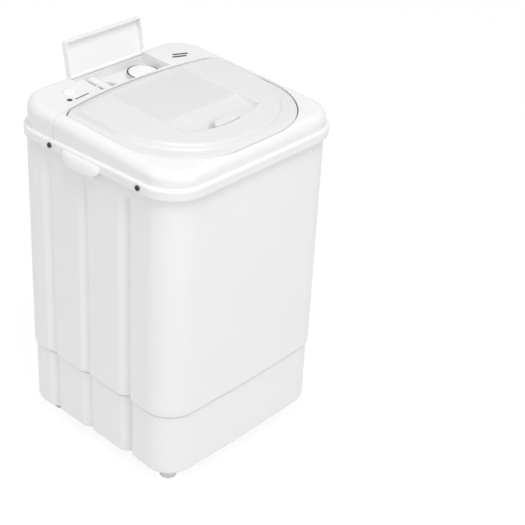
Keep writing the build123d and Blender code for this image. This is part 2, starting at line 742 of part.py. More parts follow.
def make_console():
    """Rear control housing with the well for the dial and the water inlet."""
    right = WELL_RIGHT + WELL_WALL
    well_floor = -WELL_DEPTH - WELL_WALL
    well_out = block(WELL_LEFT - WELL_WALL, right, 0, WELL_REAR + WELL_WALL, well_floor, FAR)
    shelf_out = block(SHELF_LEFT - WELL_WALL, right, 0, FAR, -SHELF_DEPTH - WELL_WALL, FAR)
    hollow = cover_solid(COVER_WALL, COVER_WALL, COVER_EDGE_RADIUS - 2)
    hollow -= on_top(well_out)
    hollow -= on_top(shelf_out)
    shell = cover_solid(0, 0, COVER_EDGE_RADIUS) - hollow
    shell -= on_top(block(WELL_LEFT, WELL_RIGHT, WELL_FRONT, WELL_REAR, -WELL_DEPTH, FAR))
    shell -= on_top(block(SHELF_LEFT, WELL_LEFT + 1, WELL_FRONT, WELL_REAR, -SHELF_DEPTH, FAR))
    shell -= on_top(block(SHELF_LEFT, WELL_RIGHT, WELL_REAR - 1, FAR, -HINGE_CUT, FAR))
    console = keep_rear(shell + lid_well_wall())
    console -= on_top(prism(lid_face(LID_GAP), -80, 60))
    console -= on_top(prism(lid_face(LID_GAP + COVER_WALL), -80, LEDGE_TOP))
    console -= on_top(rod(KNOB_X, KNOB_Y, TIMER_BOSS_RADIUS, well_floor - 1, 0))
    for x in (-TIMER_SCREW_X, TIMER_SCREW_X):
        console -= on_top(rod(KNOB_X + x, KNOB_Y, TIMER_SCREW_RADIUS, well_floor - 1, 0))
    console += on_top(tube(INLET_X, INLET_Y, INLET_RADIUS + 4, INLET_RADIUS, -WELL_DEPTH, -WELL_DEPTH + 4))
    console -= on_top(rod(INLET_X, INLET_Y, INLET_RADIUS, well_floor - 1, 0))
    console += on_top(inlet_guard())
    console -= on_top(rod(BUTTON_X, BUTTON_Y, BUTTON_RADIUS + SEAM_GAP, -9, 10))
    for x0, x1 in flap_pin_spans():
        console -= on_top(rod_x(x0, x1, FLAP_AXIS_Y, -FLAP_AXIS_DROP, FLAP_PIN_RADIUS))
    return console.solid()


def make_inlet_strainer():
    """Cross bar strainer in the water inlet."""
    ring = tube(INLET_X, INLET_Y, INLET_RADIUS, INLET_RADIUS - 2, -WELL_DEPTH - WELL_WALL, -WELL_DEPTH + 2)
    half = STRAINER_HALF_BAR
    reach = INLET_RADIUS - 1
    disc = rod(INLET_X, INLET_Y, reach, -WELL_DEPTH - half, -WELL_DEPTH + half)
    for step in STRAINER_BARS:
        x = INLET_X + step
        y = INLET_Y + step
        ring += disc & block(INLET_X - reach, INLET_X + reach, y - half, y + half, -FAR, FAR)
        ring += disc & block(x - half, x + half, INLET_Y - reach, INLET_Y + reach, -FAR, FAR)
    return on_top(ring)


def make_inlet_chute():
    """Elbow that leads water from the inlet into the tub."""
    floor = -WELL_DEPTH - WELL_WALL
    outer = INLET_RADIUS + CHUTE_WALL
    top = on_top(rod(INLET_X, INLET_Y, outer, -36, floor))
    top_bore = on_top(rod(INLET_X, INLET_Y, INLET_RADIUS, -38, floor + 1))
    drop = rod(INLET_X, INLET_Y + 1, outer, CHUTE_LOW, CHUTE_TOP)
    drop_bore = rod(INLET_X, INLET_Y + 1, INLET_RADIUS, CHUTE_LOW + CHUTE_WALL, CHUTE_TOP + CHUTE_WALL)
    spout = rod_y(INLET_X, SPOUT_START, INLET_Y, SPOUT_Z, SPOUT_RADIUS)
    spout_bore = rod_y(INLET_X, SPOUT_START - 1, INLET_Y, SPOUT_Z, SPOUT_RADIUS - CHUTE_WALL)
    flange = rod_y(INLET_X, SPOUT_STOP_Y, SPOUT_STOP_Y + SPOUT_STOP_WALL, SPOUT_Z, SPOUT_STOP_RADIUS)
    return (top + drop + spout + flange - top_bore - drop_bore - spout_bore).solid()


# Dial, button and flap
def make_timer():
    """Spring timer under the well floor."""
    top = -WELL_DEPTH - WELL_WALL
    timer = block(KNOB_X - TIMER_HALF, KNOB_X + TIMER_HALF, KNOB_Y - TIMER_HALF, KNOB_Y + TIMER_HALF,
                  top - TIMER_HEIGHT, top)
    timer += rod(KNOB_X, KNOB_Y, TIMER_BOSS_RADIUS, top, -WELL_DEPTH)
    timer -= rod(KNOB_X, KNOB_Y, TIMER_SHAFT_RADIUS + RUNNING_GAP, top - 20, 0)
    for x in (-TIMER_SCREW_X, TIMER_SCREW_X):
        timer -= rod(KNOB_X + x, KNOB_Y, TIMER_SCREW_RADIUS, top - TIMER_SCREW_LENGTH, top + 1)
    return on_top(timer)


def make_timer_screws():
    """Two screws that hold the timer from above."""
    screws = []
    for x in (-TIMER_SCREW_X, TIMER_SCREW_X):
        low = -WELL_DEPTH - WELL_WALL - TIMER_SCREW_LENGTH
        head = -WELL_DEPTH + TIMER_SCREW_HEAD
        screw = rod(KNOB_X + x, KNOB_Y, TIMER_SCREW_RADIUS, low, -WELL_DEPTH)
        screw += rod(KNOB_X + x, KNOB_Y, TIMER_SCREW_HEAD_RADIUS, -WELL_DEPTH, head)
        screws.append(on_top(screw))
    return group(screws)


def make_dial_ring():
    """Raised collar on the well floor round the dial."""
    collar = tube(KNOB_X, KNOB_Y, KNOB_RADIUS + 2.4, KNOB_RADIUS + 1.0, -WELL_DEPTH, KNOB_TOP - 1.4)
    rim = collar.faces().sort_by(Axis.Z)[-1].edges()
    return on_top(fillet(rim, 0.5))


def make_timer_knob():
    """Round dial with a shallow finger bar."""
    low = -WELL_DEPTH + 1.8
    knob = rod(KNOB_X, KNOB_Y, KNOB_RADIUS, low, KNOB_TOP)
    knob = fillet(knob.faces().sort_by(Axis.Z)[-1].edges(), 2.0)
    raised = rod(KNOB_X, KNOB_Y, KNOB_RADIUS - 6, KNOB_TOP - 1, KNOB_TOP + 1.0)
    knob += fillet(raised.faces().sort_by(Axis.Z)[-1].edges(), 0.8)
    knob -= block(KNOB_X - 0.7, KNOB_X + 0.7, KNOB_Y + 8, KNOB_Y + 17, KNOB_TOP + 0.4, KNOB_TOP + 5)
    knob -= rod(KNOB_X, KNOB_Y, TIMER_SHAFT_RADIUS, low - 1, low + 5)
    return on_top(knob)


def make_timer_shaft():
    """Shaft pressed into the dial."""
    low = -WELL_DEPTH - WELL_WALL - 18
    return on_top(rod(KNOB_X, KNOB_Y, TIMER_SHAFT_RADIUS, low, -WELL_DEPTH + 6.8))


def make_button():
    """Round push button on the left deck."""
    cap = rod(BUTTON_X, BUTTON_Y, BUTTON_RADIUS, BUTTON_LOW, BUTTON_TOP)
    cap = fillet(cap.faces().sort_by(Axis.Z)[-1].edges(), 1.6)
    return on_top(cap + rod(BUTTON_X, BUTTON_Y, BUTTON_STEM_RADIUS, BUTTON_STEM_LOW, BUTTON_LOW))


def make_button_switch():
    """Switch box under the push button."""
    box = block(BUTTON_X - SWITCH_HALF_X, BUTTON_X + SWITCH_HALF_X,
                BUTTON_Y - SWITCH_HALF_Y, BUTTON_Y + SWITCH_HALF_Y, SWITCH_LOW, SWITCH_TOP)
    box -= rod(BUTTON_X, BUTTON_Y, BUTTON_RADIUS + 0.6, BUTTON_LOW - 6, 0)
    box -= rod(BUTTON_X, BUTTON_Y, BUTTON_STEM_RADIUS + 0.2, BUTTON_STEM_LOW - 6, 0)
    return on_top(box)


def flap_pin_spans():
    """Ends of the two stub pins of the flap."""
    left = (SHELF_LEFT - FLAP_PIN_OUT, SHELF_LEFT + FLAP_PIN_IN)
    right = (WELL_RIGHT - FLAP_PIN_IN, WELL_RIGHT + FLAP_PIN_OUT)
    return left, right


def flap_place(shape):
    """Turns a shape drawn with the flap shut to the open place."""
    axis = Pos(0, FLAP_AXIS_Y, -FLAP_AXIS_DROP)
    return on_top(axis * Rot(-FLAP_OPEN, 0, 0) * Pos(0, -FLAP_AXIS_Y, FLAP_AXIS_DROP) * shape)


def make_flap():
    """Shallow tray cover of the control well, standing open."""
    wall = FLAP_RIM_WALL
    plate = block(FLAP_LEFT, FLAP_RIGHT, FLAP_FRONT, FLAP_AXIS_Y, -FLAP_SKIN, 0)
    rim = block(FLAP_LEFT, FLAP_RIGHT, FLAP_FRONT, FLAP_RIM_END, -FLAP_RIM_DEPTH, -FLAP_SKIN)
    rim -= block(FLAP_LEFT + wall, FLAP_RIGHT - wall, FLAP_FRONT + wall, FLAP_RIM_END + 1, -20, -FLAP_SKIN)
    flap = plate + rim
    corners = flap.edges().filter_by(Axis.Z).sort_by(Axis.Y)[:2]
    flap = fillet(corners, 2.0)
    top = flap.faces().sort_by(Axis.Z)[-1].edges().sort_by(Axis.Y)[:-1]
    flap = fillet(top, 1.0)
    flap += rod_x(FLAP_LEFT, FLAP_RIGHT, FLAP_AXIS_Y, -FLAP_AXIS_DROP, FLAP_AXIS_DROP)
    for x0, x1 in flap_pin_spans():
        flap -= rod_x(x0 - 0.1, x1 + 0.1, FLAP_AXIS_Y, -FLAP_AXIS_DROP, FLAP_PIN_RADIUS + RUNNING_GAP)
    return flap_place(flap)


def make_flap_pins():
    """Stub pins of the flap in the deck walls."""
    pins = []
    for x0, x1 in flap_pin_spans():
        pins.append(on_top(rod_x(x0, x1, FLAP_AXIS_Y, -FLAP_AXIS_DROP, FLAP_PIN_RADIUS)))
    return group(pins)


# Lid
def pocket_prism(points, half):
    """A bar along X with a side view given by points."""
    outline = [Vector(0, y, z) for y, z in points]
    edges = []
    for index, point in enumerate(outline):
        edges.append(Edge.make_line(point, outline[(index + 1) % len(outline)]))
    face = Face(Wire(edges))
    return extrude(face, half, dir=(1, 0, 0)) + extrude(face, half, dir=(-1, 0, 0))


def pocket_scoop(drop, grow):
    """Hollow of the finger pocket, lowered and widened by a wall."""
    points = [(POCKET_REAR + grow, 20), (POCKET_REAR + grow, POCKET_REAR_LEVEL - drop),
              (POCKET_BREAK, POCKET_BREAK_LEVEL - drop), (POCKET_FRONT - grow, POCKET_FRONT_LEVEL - drop),
              (POCKET_FRONT - grow, 20)]
    front = rod(0, POCKET_FRONT + POCKET_FRONT_RADIUS, POCKET_FRONT_RADIUS + grow, -40, 40)
    return pocket_prism(points, POCKET_HALF_WIDTH + grow) & front


def lid_crown(inset, low, high):
    """Raised middle of the lid with its sloping band."""
    lean = degrees(atan2(LID_BAND, LID_CROWN))
    return Pos(0, 0, low) * extrude(lid_face(-inset), high - low, taper=lean)


def make_lid():
    """Hollow lid with a raised crown and a sloping finger pocket."""
    lid = prism(lid_face(0), -LID_DEPTH, LID_EDGE) + lid_crown(0, LID_EDGE, LID_CROWN)
    guard = pocket_scoop(POCKET_FLOOR_WALL, POCKET_FLOOR_WALL)
    hollow = lid_crown(LID_WALL, LID_EDGE - LID_WALL, LID_CROWN - LID_WALL) - guard
    lid -= prism(lid_face(-LID_WALL), -LID_DEPTH - 1, LID_EDGE - LID_WALL)
    lid -= hollow
    lid -= block(-FAR, FAR, LID_THIN_FROM, FAR, -LID_DEPTH - 1, -LID_REAR_DEPTH)
    lid -= pocket_scoop(0, 0)
    for side in (-1, 1):
        x0, x1 = sorted((side * (LID_PIN_IN - 4), side * (LID_HALF_WIDTH - 0.5)))
        barrel = rod_x(x0, x1, LID_AXIS_Y, -LID_AXIS_DROP, LID_BARREL_RADIUS)
        lid += barrel & prism(lid_face(-0.5), -LID_DEPTH, LID_EDGE)
        h0, h1 = sorted((side * LID_PIN_IN, side * LID_PIN_OUT))
        lid -= rod_x(h0, h1, LID_AXIS_Y, -LID_AXIS_DROP, LID_PIN_RADIUS)
    return on_top(lid).solid()


def make_lid_pins():
    """Hinge pins pressed into the lid."""
    pins = []
    for side in (-1, 1):
        x0, x1 = sorted((side * LID_PIN_IN, side * LID_PIN_OUT))
        pins.append(on_top(rod_x(x0, x1, LID_AXIS_Y, -LID_AXIS_DROP, LID_PIN_RADIUS)))
    return group(pins)


def make_lid_grip():
    """Half moon finger tab at the front of the pocket."""
    tab = rod(0, GRIP_Y, GRIP_RADIUS, GRIP_TOP - GRIP_WALL, GRIP_TOP)
    tab &= rod(0, POCKET_FRONT + POCKET_FRONT_RADIUS, POCKET_FRONT_RADIUS, -40, 40)
    return on_top(tab)


# Tub, basket and drive
def make_tub():
    """Wash tub with its rim, bearing hole, drain hole and inlet port."""
    rim = FLANGE_TOP - TUB_RIM_SINK
    top = rim + TUB_RIM_WALL
    outer = cone(0, TUB_Y, TUB_FLOOR_RADIUS + TUB_WALL, TUB_TOP_RADIUS + TUB_WALL, TUB_FLOOR, rim)
    outer += rod(0, TUB_Y, TUB_RIM_RADIUS, rim, top)
    floor = TUB_FLOOR + TUB_FLOOR_WALL
    inner = cone(0, TUB_Y, TUB_FLOOR_RADIUS, TUB_TOP_RADIUS, floor, rim)
    inner = fillet(inner.edges().sort_by(Axis.Z)[0], TUB_FLOOR_ROUND)
    tub = outer - inner - rod(0, TUB_Y, TUB_TOP_RADIUS, rim - 0.5, top + 1)
    tub -= rod(0, TUB_Y, HOUSING_NECK_RADIUS, TUB_FLOOR - 1, floor + 1)
    tub -= rod(DRAIN_X, DRAIN_Y, DRAIN_BORE, TUB_FLOOR - 1, floor + 1)
    tub -= rod_y(INLET_X, 60, 110, SPOUT_Z, SPOUT_RADIUS)
    return tub


def make_drain_grate():
    """Slotted grate over the tub drain."""
    floor = TUB_FLOOR + TUB_FLOOR_WALL
    grate = rod(DRAIN_X, DRAIN_Y, GRATE_RADIUS, floor, floor + 2)
    for step in GRATE_SLOTS:
        x = DRAIN_X + step
        grate -= block(x - 1, x + 1, DRAIN_Y - 8, DRAIN_Y + 8, floor - 1, floor + 3)
    return grate


def make_drain_pipe():
    """Elbow pipe from the tub floor to the rear outlet."""
    drop = rod(DRAIN_X, DRAIN_Y, DRAIN_DROP_RADIUS, DRAIN_Z - DRAIN_DROP_RADIUS, TUB_FLOOR)
    run = rod_y(DRAIN_X, DRAIN_Y, DRAIN_RUN_END, DRAIN_Z, DRAIN_RUN_RADIUS)
    bore = rod(DRAIN_X, DRAIN_Y, DRAIN_BORE, DRAIN_Z - 10, TUB_FLOOR + 1)
    way = rod_y(DRAIN_X, DRAIN_Y, DRAIN_RUN_END + 1, DRAIN_Z, DRAIN_RUN_BORE)
    return drop + run - bore - way


def make_drain_outlet():
    """Rear hose spigot with its flange inside the cabinet wall."""
    inside = BODY_HALF_DEPTH - BODY_WALL
    spigot = rod_y(DRAIN_X, DRAIN_RUN_END, BODY_HALF_DEPTH, DRAIN_Z, DRAIN_WALL_HOLE)
    spigot += rod_y(DRAIN_X, inside - 3, inside, DRAIN_Z, SPIGOT_FLANGE_RADIUS)
    spigot += rod_y(DRAIN_X, BODY_HALF_DEPTH, SPIGOT_END, DRAIN_Z, SPIGOT_RADIUS)
    return spigot - rod_y(DRAIN_X, DRAIN_RUN_END - 1, SPIGOT_END + 1, DRAIN_Z, SPIGOT_BORE)


def make_drain_clamp():
    """Spring clamp round the pipe at the outlet."""
    clamp = rod_y(DRAIN_X, CLAMP_FRONT, CLAMP_REAR, DRAIN_Z, CLAMP_RADIUS)
    return clamp - rod_y(DRAIN_X, CLAMP_FRONT - 1, CLAMP_REAR + 1, DRAIN_Z, DRAIN_RUN_RADIUS)


def make_housing():
    """Bearing housing bolted under the tub."""
    foot = PLATE_TOP + HOUSING_FOOT_WALL
    body = rod(0, TUB_Y, HOUSING_PLATE_RADIUS, HOUSING_PLATE_LOW, HOUSING_PLATE_TOP)
    body += rod(0, TUB_Y, HOUSING_STEM_RADIUS, PLATE_TOP, HOUSING_PLATE_LOW)
    body += rod(0, TUB_Y, HOUSING_FOOT_RADIUS, PLATE_TOP, foot)
    body += rod(0, TUB_Y, HOUSING_NECK_RADIUS, HOUSING_PLATE_TOP, HOUSING_NECK_TOP)
    body -= rod(0, TUB_Y, HOUSING_BORE, PLATE_TOP - 1, HOUSING_NECK_TOP + 1)
    for x, y, angle in polar_spots(4, HOUSING_BOLT_CIRCLE, 0, TUB_Y, 45):
        body -= rod(x, y, BOLT_RADIUS, PLATE_TOP - 1, foot + 1)
    return body


def make_tub_gasket():
    """Rubber gasket between tub floor and housing."""
    return tube(0, TUB_Y, HOUSING_PLATE_RADIUS, HOUSING_NECK_RADIUS, HOUSING_PLATE_TOP, TUB_FLOOR)


def make_housing_nut():
    """Nut that clamps the housing to the tub floor."""
    low = TUB_FLOOR + TUB_FLOOR_WALL
    nut = hexagon(0, TUB_Y, HOUSING_NUT_ACROSS, low, HOUSING_NECK_TOP)
    return nut - rod(0, TUB_Y, HOUSING_NECK_RADIUS, low - 1, HOUSING_NECK_TOP + 1)


def make_bush(span):
    """Ring between the housing and the shaft."""
    return tube(0, TUB_Y, HOUSING_BORE, SHAFT_RADIUS + RUNNING_GAP, span[0], span[1])


def make_pulsator():
    """Ribbed wash disc."""
    disc = rod(0, TUB_Y, DISC_RADIUS, DISC_LOW, DISC_TOP)
    disc += rod(0, TUB_Y, DISC_HUB_RADIUS, DISC_HUB_LOW, DISC_HUB_TOP)
    disc += tube(0, TUB_Y, DISC_RADIUS, DISC_RADIUS - DISC_RIM_WALL, DISC_RIM_LOW, DISC_LOW + 1)
    vane_middle = BASKET_LOW - VANE_WIDTH / 2
    for x, y, angle in polar_spots(VANE_COUNT, VANE_RADIUS, 0, TUB_Y):
        disc += Pos(x, y, vane_middle) * Rot(0, 0, angle) * Box(VANE_LENGTH, VANE_WIDTH, VANE_WIDTH)
    for x, y, angle in polar_spots(DISC_HOLES, DISC_HOLE_CIRCLE, 0, TUB_Y, 10):
        disc -= rod(x, y, BOLT_RADIUS, DISC_LOW - 1, DISC_TOP + 1)
    disc -= rod(0, TUB_Y, SHAFT_RADIUS, DISC_HUB_LOW - 1, SHAFT_TOP)
    disc -= rod(0, TUB_Y, BOLT_RADIUS, SHAFT_TOP - 1, DISC_HUB_TOP + 1)
    return disc


def make_pulsator_screw():
    """Screw that holds the wash disc on the shaft."""
    head = rod(0, TUB_Y, DISC_SCREW_HEAD_RADIUS, DISC_HUB_TOP, DISC_HUB_TOP + DISC_SCREW_HEAD)
    return head + rod(0, TUB_Y, BOLT_RADIUS, DISC_SCREW_LOW, DISC_HUB_TOP)


def make_drive_shaft():
    """Main shaft with a tapped top."""
    shaft = rod(0, TUB_Y, SHAFT_RADIUS, SHAFT_LOW, SHAFT_TOP)
    return shaft - rod(0, TUB_Y, BOLT_RADIUS, DISC_SCREW_LOW, SHAFT_TOP + 1)


def make_spin_basket():
    """Slotted basket that locks on the wash disc."""
    low = BASKET_LOW
    high = low + BASKET_HEIGHT
    wall = cone(0, TUB_Y, BASKET_FLOOR_RADIUS, BASKET_RIM_RADIUS, low, high)
    rim_inside = BASKET_RIM_RADIUS - BASKET_WALL
    wall -= cone(0, TUB_Y, BASKET_FLOOR_RADIUS - BASKET_WALL, rim_inside, low + BASKET_FLOOR, high + 0.01)
    wall += tube(0, TUB_Y, BASKET_RIM_RADIUS + BASKET_RIM_LIP, rim_inside, high - BASKET_RIM_HEIGHT, high)
    for x, y, angle in polar_spots(BASKET_SLOTS, 90.0, 0, TUB_Y):
        slot = Box(40, BASKET_SLOT_WIDTH, BASKET_SLOT_HEIGHT)
        wall -= Pos(x, y, low + BASKET_SLOT_MIDDLE) * Rot(0, 0, angle) * slot
    wall -= rod(0, TUB_Y, 9.0, low - 1, low + BASKET_FLOOR + 1)
    for x, y, angle in polar_spots(BASKET_PEGS, BASKET_PEG_CIRCLE, 0, TUB_Y, 30):
        wall += rod(x, y, BASKET_PEG_RADIUS, low - BASKET_PEG_LENGTH, low)
    return wall


def grooved_pulley(x, y, radius, bore):
    """Pulley with a vee groove."""
    low = PULLEY_MIDDLE - PULLEY_HALF
    high = PULLEY_MIDDLE + PULLEY_HALF
    pulley = cone(x, y, radius, radius - GROOVE_DEPTH, low, PULLEY_MIDDLE)
    pulley += cone(x, y, radius - GROOVE_DEPTH, radius, PULLEY_MIDDLE, high)
    return pulley - rod(x, y, bore, low - 1, high + 1)


def make_driven_pulley():
    """Large pulley on the main shaft."""
    pulley = grooved_pulley(0, TUB_Y, DRIVEN_RADIUS, SHAFT_RADIUS)
    for x, y, angle in polar_spots(DRIVEN_HOLES, DRIVEN_HOLE_CIRCLE, 0, TUB_Y):
        pulley -= rod(x, y, DRIVEN_HOLE_RADIUS, PULLEY_MIDDLE - 10, PULLEY_MIDDLE + 10)
    return pulley


def make_pulley_nut():
    """Nut under the large pulley."""
    high = PULLEY_MIDDLE - PULLEY_HALF
    low = high - PULLEY_NUT_HEIGHT
    return hexagon(0, TUB_Y, PULLEY_NUT_ACROSS, low, high) - rod(0, TUB_Y, SHAFT_RADIUS, low - 1, high + 1)


def make_motor_pulley():
    """Small pulley on the motor shaft."""
    return grooved_pulley(0, MOTOR_Y, MOTOR_PULLEY_RADIUS, MOTOR_SHAFT_RADIUS)


def make_belt():
    """Vee belt round both pulleys."""
    inner_large = DRIVEN_RADIUS - GROOVE_DEPTH + BELT_SEAT
    inner_small = MOTOR_PULLEY_RADIUS - GROOVE_DEPTH + BELT_SEAT
    low = PULLEY_MIDDLE - BELT_HALF
    high = PULLEY_MIDDLE + BELT_HALF
    loops = []
    for grow in (BELT_WALL, 0.0):
        large = Pos(0, TUB_Y) * Circle(inner_large + grow)
        small = Pos(0, MOTOR_Y) * Circle(inner_small + grow)
        loops.append(make_hull(large.edges() + small.edges()))
    return prism(loops[0], low, high) - prism(loops[1], low - 1, high + 1)


def make_drive_plate():
    """Steel plate that ties motor and housing together."""
    plate = block(-PLATE_HALF_WIDTH, PLATE_HALF_WIDTH, PLATE_FRONT, PLATE_REAR, PLATE_LOW, PLATE_TOP)
    plate = fillet(plate.edges().filter_by(Axis.Z), PLATE_CORNER)
    plate -= rod(0, TUB_Y, 8.0, PLATE_LOW - 1, PLATE_TOP + 1)
    plate -= rod(0, MOTOR_Y, 9.0, PLATE_LOW - 1, PLATE_TOP + 1)
    for x, y, angle in plate_bolt_spots():
        plate -= rod(x, y, BOLT_RADIUS, PLATE_LOW - 1, PLATE_TOP + 1)
    return plate


def plate_bolt_spots():
    """Bolts of the drive plate into housing and motor."""
    housing = polar_spots(4, HOUSING_BOLT_CIRCLE, 0, TUB_Y, 45)
    return housing + polar_spots(4, MOTOR_BOLT_CIRCLE, 0, MOTOR_Y, 45)


def make_plate_bolts():
    """Bolts under the drive plate."""
    bolts = []
    for x, y, angle in plate_bolt_spots():
        head = hexagon(x, y, BOLT_HEAD_ACROSS, PLATE_LOW - BOLT_HEAD, PLATE_LOW)
        bolts.append(head + rod(x, y, BOLT_RADIUS, PLATE_LOW, BOLT_TOP))
    return group(bolts)


def make_motor_body():
    """Laminated stator of the motor."""
    return tube(0, MOTOR_Y, MOTOR_RADIUS, MOTOR_BORE, MOTOR_CORE_LOW, MOTOR_CORE_TOP)


def make_motor_cap(low, high, bolt_holes):
    """End cap of the motor with a bush bore."""
    cap = tube(0, MOTOR_Y, MOTOR_CAP_RADIUS, MOTOR_SHAFT_RADIUS + RUNNING_GAP, low, high)
    if bolt_holes:
        for x, y, angle in polar_spots(4, MOTOR_BOLT_CIRCLE, 0, MOTOR_Y, 45):
            cap -= rod(x, y, BOLT_RADIUS, low - 1, BOLT_TOP)
    return cap


def make_motor_rotor():
    """Rotor core on the motor shaft."""
    low = MOTOR_CORE_LOW + ROTOR_INSET
    high = MOTOR_CORE_TOP - ROTOR_INSET
    return tube(0, MOTOR_Y, MOTOR_BORE - MOTOR_AIR_GAP, MOTOR_SHAFT_RADIUS, low, high)


def make_motor_shaft():
    """Motor shaft that carries the rotor and the small pulley."""
    return rod(0, MOTOR_Y, MOTOR_SHAFT_RADIUS, MOTOR_SHAFT_LOW, MOTOR_TOP)


def make_capacitor():
    """Run capacitor on the bottom plate."""
    low = BASE_LOW + BASE_FLOOR + PLATE_WALL
    can = rod(CAPACITOR_X, CAPACITOR_Y, CAPACITOR_RADIUS, low, CAPACITOR_TOP)
    return fillet(can.edges().sort_by(Axis.Z)[-1], 3.0)


def make_capacitor_clip():
    """Clip round the capacitor with a foot on the plate."""
    low = BASE_LOW + BASE_FLOOR + PLATE_WALL
    x0 = CAPACITOR_X - CLIP_HALF_WIDTH
    x1 = CAPACITOR_X + CLIP_HALF_WIDTH
    back = CAPACITOR_Y + CAPACITOR_RADIUS + CLIP_WALL
    clip = rod(CAPACITOR_X, CAPACITOR_Y, CAPACITOR_RADIUS + CLIP_WALL, CLIP_LOW, CLIP_TOP)
    clip += block(x0, x1, back - 0.5, back + 1.6, low, CLIP_TOP)
    clip += block(x0, x1, back - 0.5, back + 11, low, low + 1.5)
    return clip - rod(CAPACITOR_X, CAPACITOR_Y, CAPACITOR_RADIUS, low - 1, CLIP_TOP + 1)


def make_harness():
    """Looms from the cord gland to the timer and from the timer to the motor."""
    runs = [
        [(CORD_X, 147, CORD_Z + 8), (CORD_X, 147, 452), (-20, 145, 482), (42, 141, 474), (42, 141, 500.8)],
        [(58, 141, 500.8), (58, 147, 450), (58, 147, 215), (20, 112, 190), (20, 112, 166.4)],
    ]
    looms = []
    for points in runs:
        path = FilletPolyline(*[Vector(*point) for point in points], radius=LOOM_BEND)
        looms.append(sweep(Plane(path @ 0, z_dir=path % 0) * Circle(LOOM_RADIUS), path))
    return group(looms)


def make_cord_gland():
    """Gland for the supply cord in the rear wall."""
    inside = BODY_HALF_DEPTH - BODY_WALL
    gland = rod_y(CORD_X, inside - 8, GLAND_END, CORD_Z, GLAND_RADIUS)
    gland += rod_y(CORD_X, BODY_HALF_DEPTH, GLAND_FLANGE_END, CORD_Z, GLAND_FLANGE_RADIUS)
    return gland - rod_y(CORD_X, inside - 9, GLAND_END + 1, CORD_Z, CORD_BORE)


def make_gland_nut():
    """Nut of the gland inside the rear wall."""
    inside = BODY_HALF_DEPTH - BODY_WALL
    blank = extrude(RegularPolygon(GLAND_NUT_RADIUS, 6), GLAND_NUT_HEIGHT)
    nut = Pos(CORD_X, inside, CORD_Z) * Rot(90, 0, 0) * blank
    return nut - rod_y(CORD_X, inside - GLAND_NUT_HEIGHT - 1, inside + 1, CORD_Z, GLAND_RADIUS)


def make_all():
    """Every node with its shape."""
    front, sides, back = cabinet_panels()
    return {
        "cabinet_front": front,
        "cabinet_sides": sides,
        "cabinet_back": back,
        "base_skirt": make_base(),
        "bottom_plate": make_bottom_plate(),
        "feet": make_feet(),
        "foot_studs": make_foot_studs(),
        "foot_nuts": make_foot_nuts(),
        "body_screws": make_body_screws(),
        "flange_collar": make_collar(),
        "carry_handles": group([make_handle(-1), make_handle(1)]),
        "cover_screws": make_cover_screws(),
        "top_frame": make_top_frame(),
        "tub_ring": make_tub_ring(),
        "lid_buffers": make_lid_buffers(),
        "control_housing": make_console(),
        "inlet_strainer": make_inlet_strainer(),
        "inlet_chute": make_inlet_chute(),
        "timer_body": make_timer(),
        "timer_screws": make_timer_screws(),
        "dial_ring": make_dial_ring(),
        "timer_knob": make_timer_knob(),
        "timer_shaft": make_timer_shaft(),
        "push_button": make_button(),
        "button_switch": make_button_switch(),
        "flap": make_flap(),
        "flap_pins": make_flap_pins(),
        "lid": make_lid(),
        "lid_pins": make_lid_pins(),
        "lid_grip": make_lid_grip(),
        "wash_tub": make_tub(),
        "drain_grate": make_drain_grate(),
        "drain_pipe": make_drain_pipe(),
        "drain_outlet": make_drain_outlet(),
        "drain_clamp": make_drain_clamp(),
        "bearing_housing": make_housing(),
        "tub_gasket": make_tub_gasket(),
        "housing_nut": make_housing_nut(),
        "shaft_bushes": group([make_bush(UPPER_BUSH), make_bush(LOWER_BUSH)]),
        "shaft_seal": make_bush(SEAL_SPAN),
        "pulsator": make_pulsator(),
        "pulsator_screw": make_pulsator_screw(),
        "drive_shaft": make_drive_shaft(),
        "spin_basket": make_spin_basket(),
        "driven_pulley": make_driven_pulley(),
        "pulley_nut": make_pulley_nut(),
        "drive_belt": make_belt(),
        "drive_plate": make_drive_plate(),
        "plate_bolts": make_plate_bolts(),
        "motor_stator": make_motor_body(),
        "motor_lower_cap": make_motor_cap(PLATE_TOP, MOTOR_CORE_LOW, True),
        "motor_upper_cap": make_motor_cap(MOTOR_CORE_TOP, MOTOR_TOP, False),
        "motor_rotor": make_motor_rotor(),
        "motor_shaft": make_motor_shaft(),
        "motor_pulley": make_motor_pulley(),
        "capacitor": make_capacitor(),
        "capacitor_clip": make_capacitor_clip(),
        "wiring_harness": make_harness(),
        "cord_gland": make_cord_gland(),
        "gland_nut": make_gland_nut(),
    }


def main():
    """Writes one file per node."""
    os.makedirs("parts", exist_ok=True)
    for name, shape in make_all().items():
        export_step(shape, "parts/" + name + ".step")


if __name__ == "__main__":
    main()
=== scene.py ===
"""Looks of a compact top load washing machine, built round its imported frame."""
import json
from math import cos, hypot, pi, radians, sin, sqrt

import bpy
from bpy.props import FloatProperty, FloatVectorProperty, PointerProperty
from mathutils import Matrix, Vector


